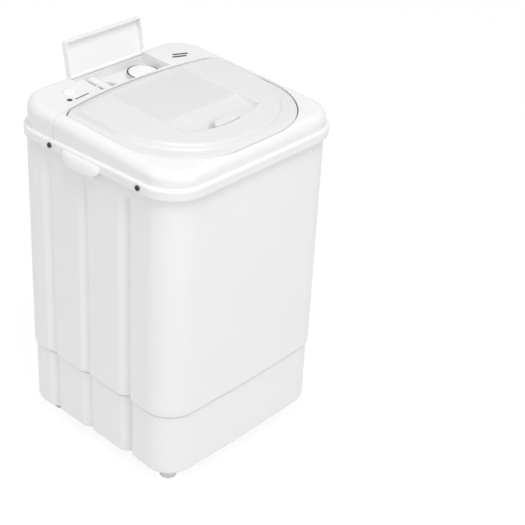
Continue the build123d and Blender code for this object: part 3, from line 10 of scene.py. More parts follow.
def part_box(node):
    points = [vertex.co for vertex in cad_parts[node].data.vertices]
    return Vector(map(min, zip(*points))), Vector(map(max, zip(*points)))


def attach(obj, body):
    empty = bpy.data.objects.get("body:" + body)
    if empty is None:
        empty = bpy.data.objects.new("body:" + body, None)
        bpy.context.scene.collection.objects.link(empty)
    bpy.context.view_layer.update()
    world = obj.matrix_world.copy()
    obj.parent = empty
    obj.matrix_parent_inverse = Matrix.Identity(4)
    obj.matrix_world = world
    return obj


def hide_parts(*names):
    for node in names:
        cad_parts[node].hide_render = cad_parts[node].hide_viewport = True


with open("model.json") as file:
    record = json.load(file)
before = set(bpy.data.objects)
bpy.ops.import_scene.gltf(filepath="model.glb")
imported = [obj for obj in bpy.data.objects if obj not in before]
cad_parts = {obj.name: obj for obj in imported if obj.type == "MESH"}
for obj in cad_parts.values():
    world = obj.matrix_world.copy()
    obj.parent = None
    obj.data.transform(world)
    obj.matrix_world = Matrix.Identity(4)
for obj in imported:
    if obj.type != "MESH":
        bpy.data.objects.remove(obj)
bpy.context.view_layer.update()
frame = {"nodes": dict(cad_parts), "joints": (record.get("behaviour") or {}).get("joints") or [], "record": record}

bl_info = {
    "name": "Top Load Washer",
    "version": (1, 0, 0),
    "blender": (4, 5, 0),
    "location": "View3D > Sidebar > Washer",
    "description": "Builds the shells, lid, printed marks, finishes and stage of a top load washer",
    "category": "Add Mesh",
}

MM = 0.001
JOINTS = {joint["name"]: joint for joint in frame["joints"]}

# Directions of the sloping top, read from the joints
TOP_UP = -Vector(JOINTS["dial_turn"]["axis"]).normalized()
TOP_BACK = Vector((0.0, TOP_UP.z, -TOP_UP.y))
LID_HINGE = Vector(JOINTS["lid_hinge"]["pos_m"])
FLAP_HINGE = Vector(JOINTS["flap_hinge"]["pos_m"])
DIAL_HUB = Vector(JOINTS["dial_turn"]["pos_m"])


# Properties that a user would change
def length_field(name, description, default):
    """A size in metres."""
    return FloatProperty(name=name, description=description, default=default, unit="LENGTH")


def angle_field(name, description, default):
    """An angle in radians."""
    return FloatProperty(name=name, description=description, default=default, subtype="ANGLE")


def colour_field(name, description, default):
    """A colour of three channels."""
    return FloatVectorProperty(name=name, description=description, default=default, subtype="COLOR")


class WasherShell(bpy.types.PropertyGroup):
    """Sizes of the cabinet and the base."""

    half_width: length_field("Half width", "Half of the cabinet's width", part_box("cabinet_sides")[1].x)
    half_depth: length_field("Half depth", "Half of the cabinet's depth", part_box("cabinet_back")[1].y)
    front_radius: length_field("Front radius", "Round of the two front corners", 48 * MM)
    rear_radius: length_field("Rear radius", "Round of the two rear corners", 40 * MM)
    front_bow: length_field("Front bow", "Outward bow of the front", 2 * MM)
    wall: length_field("Wall", "Thickness of the moulded walls", 3 * MM)
    rib_top: length_field("Rib top", "Height at which the side grooves run out", 482 * MM)
    rib_round: length_field("Rib run-out", "Length of the rounded top of a side groove", 15 * MM)
    base_inset: length_field("Base inset", "Step from the cabinet in to the base", 3 * MM)
    seam_gap: length_field("Seam gap", "Height of the shadow groove above the base", 3 * MM)
    seam_depth: length_field("Seam depth", "Depth of the shadow groove above the base", 1.7 * MM)
    base_groove: FloatProperty(
        name="Base groove", description="Depth of the base's side grooves against the cabinet's",
        default=1.3)
    base_round: length_field("Base round", "Round at the foot of the base", 6 * MM)


class WasherLid(bpy.types.PropertyGroup):
    """Sizes of the lid, drawn on the sloping top."""

    half_width: length_field("Half width", "Half of the lid's width", 156.5 * MM)
    front: length_field("Front", "Place of the lid's front edge", -158.5 * MM)
    front_radius: length_field("Front radius", "Round of the front corners", 112 * MM)
    side_end: length_field("Side end", "Where the straight sides stop", 66.5 * MM)
    corner_x: length_field("Corner X", "Sideways place of a rear corner", 140 * MM)
    corner_y: length_field("Corner Y", "Backward place of a rear corner", 78 * MM)
    rear_middle: length_field("Rear middle", "Backward reach of the hinge edge", 91 * MM)
    edge: length_field("Edge", "Height of the lid's edge", -1 * MM)
    crown: length_field("Crown", "Height of the flat middle", 9 * MM)
    strip: length_field("Strip", "Width of the flat strip round the crown", 7.5 * MM)
    strip_rise: length_field("Strip rise", "Height that the strip gains", 1.5 * MM)
    crown_radius: length_field("Crown radius", "Round of the crown's front corners", 138 * MM)
    riser: length_field("Riser", "Width of the rise from strip to crown", 7 * MM)
    rear_band: length_field("Rear band", "Width of the slope along the hinge", 20 * MM)
    shoulder: length_field("Shoulder", "Softness of the rear shoulder", 2 * MM)
    depth: length_field("Depth", "Depth of the rim below the top", 12 * MM)
    rear_depth: length_field("Rear depth", "Depth of the rim behind the hinge", 5.5 * MM)
    thin_from: length_field("Thin from", "Where the shallow rim starts", 56 * MM)
    wall: length_field("Wall", "Thickness of the lid", 2.6 * MM)
    axis_y: length_field("Axis Y", "Backward place of the hinge line", 64 * MM)
    axis_drop: length_field("Axis drop", "Depth of the hinge line", 3.2 * MM)
    pocket_half_width: length_field("Pocket half width", "Half of the recess's width", 75 * MM)
    pocket_front: length_field("Pocket front", "Place of the recess's front edge", -106 * MM)
    pocket_radius: length_field("Pocket radius", "Sweep of the recess's front edge", 182 * MM)
    pocket_break: length_field("Pocket break", "Where the recess starts to dip", -45 * MM)
    pocket_rear: length_field("Pocket rear", "Where the recess ends at the back", 70 * MM)
    rear_level: length_field("Rear level", "Height of the recess at its back", 7.9 * MM)
    break_level: length_field("Break level", "Height of the recess at its break", 6.4 * MM)
    front_level: length_field("Front level", "Height of the recess at its front", -4 * MM)
    tab_radius: length_field("Tab radius", "Round of the half moon tab", 29 * MM)
    tab_y: length_field("Tab Y", "Middle of the half moon tab", -114.5 * MM)
    tab_top: length_field("Tab top", "Height of the tab", 8.7 * MM)
    tab_wall: length_field("Tab wall", "Thickness of the tab", 3.4 * MM)
    pit_radius: length_field("Pit radius", "Reach of the finger pit round the tab", 37 * MM)
    pit_depth: length_field("Pit depth", "Depth of the finger pit under the tab", 7 * MM)


class WasherColours(bpy.types.PropertyGroup):
    """Colours of the finishes."""

    cabinet: colour_field("Cabinet", "White of the cabinet", (0.89, 0.885, 0.885))
    # Cover and lid whites sit below the cabinet's as painted shade of the upward faces; the lid's grey is painted
    # shade of its flat crown
    cover: colour_field("Cover", "White of the cover", (0.86, 0.86, 0.865))
    lid: colour_field("Lid", "White of the lid", (0.765, 0.765, 0.775))
    # The recess keeps a slight blue tint of its own and is set darker than the lid as painted shade
    recess: colour_field("Recess", "Tint of the lid's recess", (0.73, 0.73, 0.74))
    flap: colour_field("Flap", "White of the flap", (0.91, 0.91, 0.91))
    dial: colour_field("Dial", "White of the dial", (0.93, 0.93, 0.93))
    tub: colour_field("Tub", "White of the tub and the basket", (0.82, 0.84, 0.86))
    trim: colour_field("Trim", "Grey of the small trim", (0.66, 0.66, 0.67))
    inner: colour_field("Inner", "Cream of the inner mouldings", (0.60, 0.60, 0.57))
    foot: colour_field("Foot", "Grey of the rubber feet", (0.74, 0.74, 0.74))
    # This black also paints the shade in the gap round the dial
    rubber: colour_field("Rubber", "Black of seals and belt", (0.018, 0.018, 0.019))
    screw: colour_field("Screw", "Dark zinc of the screws", (0.10, 0.10, 0.105))
    steel: colour_field("Steel", "Turned steel", (0.56, 0.57, 0.58))
    alloy: colour_field("Alloy", "Cast alloy", (0.52, 0.53, 0.54))
    bronze: colour_field("Bronze", "Bush bronze", (0.55, 0.34, 0.13))
    core: colour_field("Core", "Varnished motor core", (0.05, 0.055, 0.06))
    ink: colour_field("Ink", "Printed marks", (0.02, 0.02, 0.022))


class WasherStage(bpy.types.PropertyGroup):
    """Camera, lamps and floor."""

    azimuth: angle_field("Azimuth", "Turn of the camera round the machine", radians(-45.619))
    elevation: angle_field("Elevation", "Height angle of the camera", radians(30.741))
    roll: angle_field("Roll", "Lean of the camera", radians(1.101))
    distance: length_field("Distance", "Distance of the camera", 2.161085)
    target_height: length_field("Target height", "Height that the camera looks at", 0.270)
    lens: FloatProperty(name="Lens", description="Focal length in millimetres", default=94.62)
    shift_x: FloatProperty(name="Shift X", description="Sideways shift of the frame", default=0.16802)
    shift_y: FloatProperty(name="Shift Y", description="Upward shift of the frame", default=0.00254)
    key_power: FloatProperty(name="Key", description="Power of the front lamp in watts", default=12.0)
    top_power: FloatProperty(name="Top", description="Power of the overhead lamp in watts", default=20.0)
    side_power: FloatProperty(name="Side", description="Power of the left lamp in watts", default=9.5)
    ambient: FloatProperty(name="Ambient", description="Strength of the light from all round", default=0.55)
    floor: colour_field("Floor", "Colour of the floor", (0.86, 0.86, 0.86))


# Shader maths
class Value:
    """A socket that takes part in sums, differences and products."""

    def __init__(self, graph, socket):
        self.graph = graph
        self.socket = socket

    def maths(self, operation, first, second):
        """Adds a Math node."""
        return self.graph.node("ShaderNodeMath", {"operation": operation}, {0: first, 1: second})

    def __add__(self, other):
        return self.maths("ADD", self, other)

    def __radd__(self, other):
        return self.maths("ADD", other, self)

    def __sub__(self, other):
        return self.maths("SUBTRACT", self, other)

    def __rsub__(self, other):
        return self.maths("SUBTRACT", other, self)

    def __mul__(self, other):
        return self.maths("MULTIPLY", self, other)

    def __rmul__(self, other):
        return self.maths("MULTIPLY", other, self)


class Graph:
    """A node tree that grows by one method."""

    def __init__(self, tree):
        self.tree = tree
        self.tree.nodes.clear()

    def node(self, kind, settings, sockets, result=0):
        """Adds a node, sets it up, feeds its sockets and gives one output if it has any."""
        node = self.tree.nodes.new(kind)
        for name, setting in settings.items():
            setattr(node, name, setting)
        for key, value in sockets.items():
            self.feed(node.inputs[key], value)
        return Value(self, node.outputs[result]) if node.outputs else None

    def feed(self, socket, value):
        """Links a value to a socket or sets the socket."""
        if isinstance(value, Value):
            self.tree.links.new(value.socket, socket)
        elif hasattr(value, "__len__") and len(value) == 3 and socket.type == "RGBA":
            socket.default_value = (*value, 1.0)
        else:
            socket.default_value = value

    def background_rays(self):
        """1 for the rays that show the background itself, 0 for the light that falls on things."""
        camera = self.node("ShaderNodeLightPath", {}, {}, "Is Camera Ray")
        glossy = self.node("ShaderNodeLightPath", {}, {}, "Is Glossy Ray")
        through = self.node("ShaderNodeLightPath", {}, {}, "Is Transmission Ray")
        return camera + glossy + through


class Finish(Graph):
    """A material made of nodes round one principled shader."""

    def __init__(self, name):
        self.material = bpy.data.materials.new(name)
        self.material.use_nodes = True
        super().__init__(self.material.node_tree)
        self.shader = self.node("ShaderNodeBsdfPrincipled", {}, {})

    def set(self, **sockets):
        """Feeds sockets of the principled shader by name."""
        inputs = self.shader.socket.node.inputs
        for name, value in sockets.items():
            self.feed(inputs[name.replace("_", " ")], value)

    def done(self, surface=None):
        """Shows a shader, the principled one unless another is given, and gives the material."""
        self.node("ShaderNodeOutputMaterial", {}, {"Surface": surface or self.shader})
        return self.material

    def place(self):
        """Object coordinates in metres."""
        return self.node("ShaderNodeTexCoord", {}, {}, "Object")

    def noise(self, scale, detail=2.0, stretch=None):
        """Noise over the surface, stretched along an axis if wanted."""
        where = self.place()
        if stretch:
            where = self.node("ShaderNodeMapping", {}, {"Vector": where, "Scale": stretch})
        return self.node("ShaderNodeTexNoise", {}, {"Vector": where, "Scale": scale, "Detail": detail})

    def tones(self, factor, colour, dark, light):
        """Blends a darker and a lighter tone of one colour."""
        first = tuple(channel * dark for channel in colour)
        second = tuple(channel * light for channel in colour)
        return self.node("ShaderNodeMix", {"data_type": "RGBA"}, {0: factor, 6: first, 7: second}, 2)

    def bump(self, height, strength, distance):
        """Turns a height into a normal."""
        sockets = {"Strength": strength, "Distance": distance, "Height": height}
        return self.node("ShaderNodeBump", {}, sockets)


def moulded_plastic(name, colour, roughness, grain, coat):
    """Moulded plastic: soft clouding, a gently uneven skin and an uneven gloss."""
    finish = Finish(name)
    cloud = finish.noise(scale=9.0, detail=3.0)
    skin = finish.noise(scale=grain, detail=1.0)
    finish.set(
        Base_Color=finish.tones(cloud, colour, dark=0.985, light=1.01),
        Roughness=roughness - 0.03 + 0.06 * finish.noise(scale=38.0),
        Normal=finish.bump(skin, strength=0.04, distance=0.2 * MM),
        Coat_Weight=coat,
        Coat_Roughness=0.22,
        IOR=1.48)
    return finish.done()


def rubber_skin(name, colour):
    """Rubber: matte, with a dusty bloom and a coarse grain."""
    finish = Finish(name)
    bloom = finish.noise(scale=60.0, detail=4.0)
    finish.set(
        Base_Color=finish.tones(bloom, colour, dark=0.8, light=1.25),
        Roughness=0.62 + 0.2 * finish.noise(scale=180.0),
        Normal=finish.bump(finish.noise(scale=900.0), strength=0.12, distance=0.5 * MM))
    return finish.done()


def turned_metal(name, colour, roughness, stretch):
    """Metal with fine tool marks along one way."""
    finish = Finish(name)
    marks = finish.noise(scale=420.0, detail=3.0, stretch=stretch)
    finish.set(
        Base_Color=finish.tones(marks, colour, dark=0.82, light=1.12),
        Metallic=1.0,
        Roughness=roughness + 0.16 * marks,
        Normal=finish.bump(marks, strength=0.08, distance=0.3 * MM))
    return finish.done()


def cast_metal(name, colour):
    """Sand cast alloy: pitted and dull."""
    finish = Finish(name)
    stain = finish.noise(scale=45.0, detail=4.0)
    pits = finish.node("ShaderNodeTexVoronoi", {}, {"Vector": finish.place(), "Scale": 520.0})
    finish.set(
        Base_Color=finish.tones(stain, colour, dark=0.8, light=1.1),
        Metallic=1.0,
        Roughness=0.46 + 0.14 * finish.noise(scale=130.0),
        Normal=finish.bump(pits, strength=0.25, distance=0.6 * MM))
    return finish.done()


def laminated_core(name, colour):
    """Varnished stack of thin sheets."""
    finish = Finish(name)
    layers = finish.node(
        "ShaderNodeTexWave", {"bands_direction": "Z"},
        {"Vector": finish.place(), "Scale": 260.0, "Distortion": 0.3})
    finish.set(
        Base_Color=finish.tones(layers, colour, dark=0.7, light=1.5),
        Roughness=0.38 + 0.12 * layers,
        Normal=finish.bump(layers, strength=0.3, distance=0.5 * MM),
        Coat_Weight=0.25)
    return finish.done()


def printed_ink(name, colour):
    """Pad printed ink with a slightly uneven film."""
    finish = Finish(name)
    film = finish.noise(scale=700.0)
    finish.set(
        Base_Color=finish.tones(film, colour, dark=0.7, light=1.6),
        Roughness=0.42 + 0.1 * film)
    return finish.done()


# Maker, colour and settings of each finish: the record's slots, then those of single pieces
FINISHES = {
    "cabinet_white": (moulded_plastic, "cabinet", {"roughness": 0.38, "grain": 90.0, "coat": 0.1}),
    # Cover and lid take whites set darker than the cabinet's, painted shade of the upward faces
    "cover_white": (moulded_plastic, "cover", {"roughness": 0.26, "grain": 90.0, "coat": 0.2}),
    "lid_white": (moulded_plastic, "lid", {"roughness": 0.26, "grain": 80.0, "coat": 0.2}),
    "dial_white": (moulded_plastic, "dial", {"roughness": 0.28, "grain": 110.0, "coat": 0.2}),
    "tub_white": (moulded_plastic, "tub", {"roughness": 0.40, "grain": 110.0, "coat": 0.05}),
    "dial_trim": (moulded_plastic, "trim", {"roughness": 0.46, "grain": 140.0, "coat": 0.0}),
    "inner_plastic": (moulded_plastic, "inner", {"roughness": 0.55, "grain": 160.0, "coat": 0.0}),
    "rubber_grey": (rubber_skin, "foot", {}),
    "rubber_black": (rubber_skin, "rubber", {}),
    "screw_steel": (turned_metal, "screw", {"roughness": 0.34, "stretch": (1.0, 8.0, 8.0)}),
    "bright_steel": (turned_metal, "steel", {"roughness": 0.22, "stretch": (1.0, 1.0, 14.0)}),
    "cast_alloy": (cast_metal, "alloy", {}),
    "bush_bronze": (turned_metal, "bronze", {"roughness": 0.26, "stretch": (1.0, 1.0, 12.0)}),
    "core_steel": (laminated_core, "core", {}),
    "flap": (moulded_plastic, "flap", {"roughness": 0.30, "grain": 80.0, "coat": 0.15}),
    # Recess finish: a slight blue tint, and darker than the lid as painted shade of the recess
    "recess": (moulded_plastic, "recess", {"roughness": 0.36, "grain": 90.0, "coat": 0.1}),
    "ink": (printed_ink, "ink", {}),
}


def finish_of(kind):
    """The material of a kind of finish, made once."""
    name = "finish_" + kind
    known = bpy.data.materials.get(name)
    if known:
        return known
    maker, colour, settings = FINISHES[kind]
    return maker(name, getattr(bpy.context.scene.washer_colours, colour), **settings)


# Mesh helpers
def add_piece(name, points, faces, body, slot, replaced=(), sharp=35.0):
    """Makes a mesh piece that rides a body and takes a slot's finish."""
    mesh = bpy.data.meshes.new(name)
    mesh.from_pydata([tuple(point) for point in points], [], faces)
    mesh.validate()
    mesh.update()
    mesh.shade_smooth()
    mesh.set_sharp_from_angle(angle=radians(sharp))
    piece = bpy.data.objects.new(name, mesh)
    bpy.context.scene.collection.objects.link(piece)
    mesh.materials.append(finish_of(slot))
    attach(piece, body)
    if replaced:
        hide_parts(*replaced)
    return piece


def loft(rings, closed):
    """Points and quads of rings of equal length, closed end to start if wanted."""
    size = len(rings[0])
    points = [point for ring in rings for point in ring]
    faces = []
    spans = len(rings) if closed else len(rings) - 1
    for row in range(spans):
        here = row * size
        there = (row + 1) % len(rings) * size
        for column in range(size):
            after = (column + 1) % size
            faces.append((here + column, here + after, there + after, there + column))
    return points, faces


def capped_loft(rings):
    """Points and faces of an open loft with a face over each end."""
    points, faces = loft(rings, False)
    size = len(rings[0])
    faces.append(tuple(reversed(range(size))))
    faces.append(tuple(range(len(points) - size, len(points))))
    return points, faces


def flipped(faces):
    """Faces that look the other way."""
    return [face[::-1] for face in faces]


def joined(shapes):
    """Points and faces of several shapes as one."""
    points = []
    faces = []
    for more, shape_faces in shapes:
        start = len(points)
        points += more
        faces += [tuple(start + index for index in face) for face in shape_faces]
    return points, faces


def smooth_step(low, high, value):
    """Eases from 0 to 1 between two values."""
    part = min(max((value - low) / (high - low), 0.0), 1.0)
    return part * part * (3.0 - 2.0 * part)


def soft_lower(first, second, blend):
    """The lower of two heights, with a soft change from one to the other."""
    apart = max(blend - abs(first - second), 0.0)
    return min(first, second) - apart * apart / (4.0 * blend)


def spread(low, high, count):
    """Evenly spaced values with both ends."""
    return [low + (high - low) * index / (count - 1) for index in range(count)]


def spread_ends(low, high, count):
    """Values that crowd towards both ends."""
    return [low + (high - low) * (1.0 - cos(pi * index / (count - 1))) / 2.0 for index in range(count)]


def arc(middle_x, middle_y, reach_x, reach_y, start, end, count):
    """Points of a round or oval arc between two angles in degrees."""
    return [(middle_x + reach_x * cos(radians(angle)), middle_y + reach_y * sin(radians(angle)))
            for angle in spread(start, end, count)]


def circle(middle_x, middle_y, radius, count):
    """Points of a full circle."""
    return arc(middle_x, middle_y, radius, radius, 0.0, 360.0, count + 1)[:-1]


def top_start():
    """The point of the sloping top that its places are measured from."""
    lid = bpy.context.scene.washer_lid
    return LID_HINGE - TOP_BACK * lid.axis_y + TOP_UP * lid.axis_drop


def on_top(x, back, up):
    """A point of the sloping top in the machine's frame."""
    return Vector((x, 0.0, 0.0)) + top_start() + TOP_BACK * back + TOP_UP * up


def place_back(point):
    """Backward place of a point on the sloping top."""
    return (point - top_start()).dot(TOP_BACK)


# Finishes of the frame's own nodes
# Width of the fine round on each node that is seen up close, in millimetres
FINE_ROUNDS = {
    "flange_collar": 0.8,
    "top_frame": 0.6,
    "control_housing": 0.6,
    "flap": 0.4,
    "push_button": 0.4,
    "timer_knob": 0.3,
    "cover_screws": 0.2,
    "feet": 0.6,
}


def dress(node, material):
    """Gives a frame node its finish."""
    piece = frame["nodes"][node]
    if not piece.material_slots:
        raise RuntimeError(node + " has no material slot")
    for place in piece.material_slots:
        place.material = material


def soften(node, width):
    """Puts a fine round on the sharp edges of a frame node."""
    piece = frame["nodes"][node]
    weld = piece.modifiers.new("weld", "WELD")
    weld.merge_threshold = 0.01 * MM
    bevel = piece.modifiers.new("edge_round", "BEVEL")
    bevel.width = width
    bevel.segments = 3
    bevel.limit_method = "ANGLE"
    bevel.angle_limit = radians(40)
    bevel.use_clamp_overlap = True
    normals = piece.modifiers.new("normals", "WEIGHTED_NORMAL")
    normals.keep_sharp = False
    normals.weight = 80


class WASHER_OT_finishes(bpy.types.Operator):
    """Finishes every node of the frame by its slot and rounds the ones seen up close"""

    bl_idname = "washer.finishes"
    bl_label = "Finishes"

    def execute(self, context):
        for part in frame["record"]["subparts"]:
            dress(part["node"], finish_of(part["material_slot"]))
        for node, width in FINE_ROUNDS.items():
            soften(node, width * MM)
        dress("flap", finish_of("flap"))
        return {"FINISHED"}


# Black ring of painted shade in the gap round the dial, and flap barrel
GAP_SHADE_INNER = 23.7 * MM
GAP_SHADE_OUTER = 25.7 * MM
GAP_SHADE_LOW = -13.6 * MM
GAP_SHADE_TOP = -13.1 * MM
GAP_SHADE_EDGE = 0.3 * MM
GAP_SHADE_STEPS = 72
BARREL_RADIUS = 2.2 * MM
BARREL_END = 3 * MM
BARREL_EDGE = 0.4 * MM
BARREL_TAPER = 0.8
BARREL_STEPS = 28


class WASHER_OT_gap_shade(bpy.types.Operator):
    """Lays a black ring between the dial and its trim ring as painted shade of the gap there"""

    bl_idname = "washer.seal"
    bl_label = "Dial seal"

    def execute(self, context):
        shoulder = GAP_SHADE_TOP - GAP_SHADE_EDGE
        profile = (
            (GAP_SHADE_INNER, GAP_SHADE_LOW), (GAP_SHADE_INNER, shoulder), (GAP_SHADE_INNER + GAP_SHADE_EDGE, GAP_SHADE_TOP),
            (GAP_SHADE_OUTER - GAP_SHADE_EDGE, GAP_SHADE_TOP), (GAP_SHADE_OUTER, shoulder), (GAP_SHADE_OUTER, GAP_SHADE_LOW))
        rings = []
        for radius, height in profile:
            ring = circle(DIAL_HUB.x, place_back(DIAL_HUB), radius, GAP_SHADE_STEPS)
            rings.append([on_top(x, v, height) for x, v in ring])
        points, faces = loft(rings, True)
        # Black ring in the rubber finish: painted shade of the gap round the dial
        add_piece("dial_seal", points, flipped(faces), "machine", "rubber_black", sharp=40.0)
        return {"FINISHED"}


class WASHER_OT_barrel(bpy.types.Operator):
    """Lays the hinge barrel along the foot of the flap"""

    bl_idname = "washer.barrel"
    bl_label = "Flap barrel"

    def execute(self, context):
        low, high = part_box("flap")
        left = low.x + BARREL_END
        right = high.x - BARREL_END
        taper = BARREL_RADIUS * BARREL_TAPER
        rings = []
        for x, radius in ((left, taper), (left + BARREL_EDGE, BARREL_RADIUS),
                          (right - BARREL_EDGE, BARREL_RADIUS), (right, taper)):
            ring = circle(FLAP_HINGE.y, FLAP_HINGE.z, radius, BARREL_STEPS)
            rings.append([Vector((x, y, z)) for y, z in ring])
        points, faces = capped_loft(rings)
        barrel = add_piece("flap_barrel", points, faces, "flap", "lid_white")
        barrel.data.materials[0] = finish_of("flap")
        return {"FINISHED"}


# Cabinet and base
# Each side groove: start, end, depth, back of the step, depth after the step, in millimetres
SIDE_GROOVES = (
    (109.0, 92.0, 8.0, 88.0, 2.0),
    (30.0, 14.0, 8.0, 10.0, 2.0),
    (-56.0, -74.0, 13.0, -79.0, 3.0),
)
GROOVE_CURVE = 1.3
SIDE_STEP = 2 * MM
REAR_STEPS = 12
FRONT_STEPS = 26
BOW_STEPS = 22
BACK_STEPS = 14
SHELL_SHARP = 24.0

# Lower edge of the cabinet, its first ring above that, and plain wall past the grooves, outside and inside
LOWER_EDGE = 1.2 * MM
FIRST_RING = 8 * MM
PLAIN_OUTSIDE = 6 * MM
PLAIN_INSIDE = 3 * MM
EDGE_RINGS = 4
WALL_RINGS = 5
RUN_OUT_RINGS = 13

# Plain wall of the base between its rounds, round of its floor, and the service opening in the floor
BASE_PLAIN_LOW = 20 * MM
BASE_PLAIN_HIGH = 10 * MM
FLOOR_ROUND = 2 * MM
OPENING_HALF_X = 110 * MM
OPENING_HALF_Y = 102 * MM
FOOT_RINGS = 8
BASE_WALL_RINGS = 4
BROW_RINGS = 5


def groove_depth(y):
    """Depth of the stepped side at a place along the depth of the machine, in millimetres."""
    shell = bpy.context.scene.washer_shell
    before_y = None
    before_depth = 0.0
    for start, end, depth, back, after in SIDE_GROOVES:
        if y > start:
            if before_y is None:
                return 0.0
            return before_depth * (y - start) / (before_y - start)
        if y > end:
            part = (start - y) / (start - end)
            return depth * part ** GROOVE_CURVE
        if y > back:
            part = (end - y) / (end - back)
            return depth + (after - depth) * smooth_step(0.0, 1.0, part)
        before_y = back
        before_depth = after
    corner = (shell.front_radius - shell.half_depth) / MM
    return max(before_depth * (y - corner) / (before_y - corner), 0.0)


def cabinet_outline(inset, groove):
    """Plan of the cabinet, drawn in by an inset, with its side grooves scaled."""
    shell = bpy.context.scene.washer_shell
    half_x = shell.half_width - inset
    half_y = shell.half_depth - inset
    front = shell.front_radius - inset
    rear = shell.rear_radius - inset
    reach = half_x - front
    right = arc(half_x - rear, half_y - rear, rear, rear, 90.0, 0.0, REAR_STEPS)
    count = int((2 * half_y - front - rear) / SIDE_STEP)
    for y in spread(half_y - rear, front - half_y, count)[1:-1]:
        right.append((half_x - groove * groove_depth(y / MM) * MM, y))
    right += arc(reach, front - half_y, front, front, 0.0, -90.0, FRONT_STEPS)
    bow = []
    for x in spread(reach, -reach, BOW_STEPS)[1:-1]:
        bow.append((x, -half_y - shell.front_bow * (1.0 - (x / reach) ** 2)))
    left = [(-x, y) for x, y in reversed(right)]
    back = [(x, half_y) for x in spread(rear - half_x, half_x - rear, BACK_STEPS)[1:-1]]
    return right + bow + left + back


def outline_ring(inset, groove, z):
    """Ring of points of the cabinet's plan at a height."""
    return [Vector((x, y, z)) for x, y in cabinet_outline(inset, groove)]


class WASHER_OT_cabinet(bpy.types.Operator):
    """Builds the ribbed cabinet as one moulded shell"""

    bl_idname = "washer.cabinet"
    bl_label = "Cabinet"

    def execute(self, context):
        shell = context.scene.washer_shell
        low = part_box("cabinet_sides")[0].z
        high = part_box("cabinet_sides")[1].z
        foot = shell.rib_top - shell.rib_round
        rings = []
        for angle in spread(pi / 2, 0.0, EDGE_RINGS):
            inset = LOWER_EDGE * (1.0 - cos(angle))
            rings.append(outline_ring(inset, 1.0, low + LOWER_EDGE * (1.0 - sin(angle))))
        for z in spread(low + FIRST_RING, foot, WALL_RINGS):
            rings.append(outline_ring(0.0, 1.0, z))
        for angle in spread(0.0, pi / 2, RUN_OUT_RINGS)[1:]:
            rings.append(outline_ring(0.0, cos(angle), foot + shell.rib_round * sin(angle)))
        rings.append(outline_ring(0.0, 0.0, shell.rib_top + PLAIN_OUTSIDE))
        rings.append(outline_ring(0.0, 0.0, high))
        rings.append(outline_ring(shell.wall, 0.0, high))
        rings.append(outline_ring(shell.wall, 0.0, shell.rib_top + PLAIN_INSIDE))
        rings.append(outline_ring(shell.wall, 1.0, foot - PLAIN_INSIDE))
        rings.append(outline_ring(shell.wall, 1.0, low))
        points, faces = loft(rings, True)
        nodes = ("cabinet_front", "cabinet_sides", "cabinet_back")
        add_piece("cabinet_shell", points, flipped(faces), "machine", "cabinet_white", nodes, SHELL_SHARP)
        return {"FINISHED"}


class WASHER_OT_base(bpy.types.Operator):
    """Builds the base with its floor and the tongue inside the cabinet"""

    bl_idname = "washer.base"
    bl_label = "Base"

    def execute(self, context):
        shell = context.scene.washer_shell
        groove = shell.base_groove
        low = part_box("base_skirt")[0].z
        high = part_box("base_skirt")[1].z
        floor = low + shell.wall
        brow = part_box("cabinet_sides")[0].z - shell.seam_gap
        outer = shell.base_inset
        tongue = outer + shell.seam_depth
        inner = tongue + shell.wall
        rings = [self.opening_ring(floor), self.opening_ring(low)]
        for angle in spread(pi / 2, 0.0, FOOT_RINGS):
            inset = outer + shell.base_round * (1.0 - cos(angle))
            rings.append(outline_ring(inset, groove, low + shell.base_round * (1.0 - sin(angle))))
        for z in spread(low + BASE_PLAIN_LOW, brow - BASE_PLAIN_HIGH, BASE_WALL_RINGS):
            rings.append(outline_ring(outer, groove, z))
        for angle in spread(0.0, pi / 2, BROW_RINGS):
            inset = outer + shell.seam_depth * (1.0 - cos(angle))
            rings.append(outline_ring(inset, groove, brow - shell.seam_depth * (1.0 - sin(angle))))
        rings.append(outline_ring(tongue, groove, high))
        rings.append(outline_ring(inner, groove, high))
        rings.append(outline_ring(inner, groove, floor + FLOOR_ROUND))
        rings.append(outline_ring(inner + FLOOR_ROUND, groove, floor))
        points, faces = loft(rings, True)
        nodes = ("base_skirt",)
        add_piece("base_shell", points, flipped(faces), "machine", "cabinet_white", nodes, SHELL_SHARP)
        return {"FINISHED"}

    def opening_ring(self, z):
        """Edge of the service opening in the floor, matched to the plan's points."""
        tiny = 1e-6
        ring = []
        for x, y in cabinet_outline(0.0, 1.0):
            scale = min(OPENING_HALF_X / max(abs(x), tiny), OPENING_HALF_Y / max(abs(y), tiny))
            ring.append(Vector((x * scale, y * scale, z)))
        return ring


# Lid
# Round of the lid's rim, fade at the back of the recess, slope of the finger pit and ramp to the shallow rim
LID_RIM = 1.6 * MM
POCKET_FADE = 14 * MM
PIT_SLOPE = 5 * MM
THIN_RAMP = 2 * MM
LID_SHARP = 62.0

# Half of the recess's soft edge, and the lines of points that follow that edge, in millimetres from it
POCKET_SOFT = 1.4 * MM
EDGE_LINES = (-1.4, -1.0, -0.5, 0.0, 0.5, 1.0, 1.4)

# Columns of the lid's points: even ones over the recess, one each side of its edge lines, more to the side
COLUMN_STEP = 1.5 * MM
COLUMN_COUNT = 48
COLUMN_BEFORE = -2.2 * MM
COLUMN_AFTER = 3 * MM
SIDE_COLUMNS_FROM = 5 * MM
SIDE_COLUMNS = 58

# Rows of the lid's points before and behind the front edge of the recess, closer where there is little room
ROW_BEFORE = -2.4 * MM
ROW_AFTER = 2.2 * MM
FRONT_ROWS = 46
REAR_ROWS = 64
LITTLE_ROOM = 6 * MM


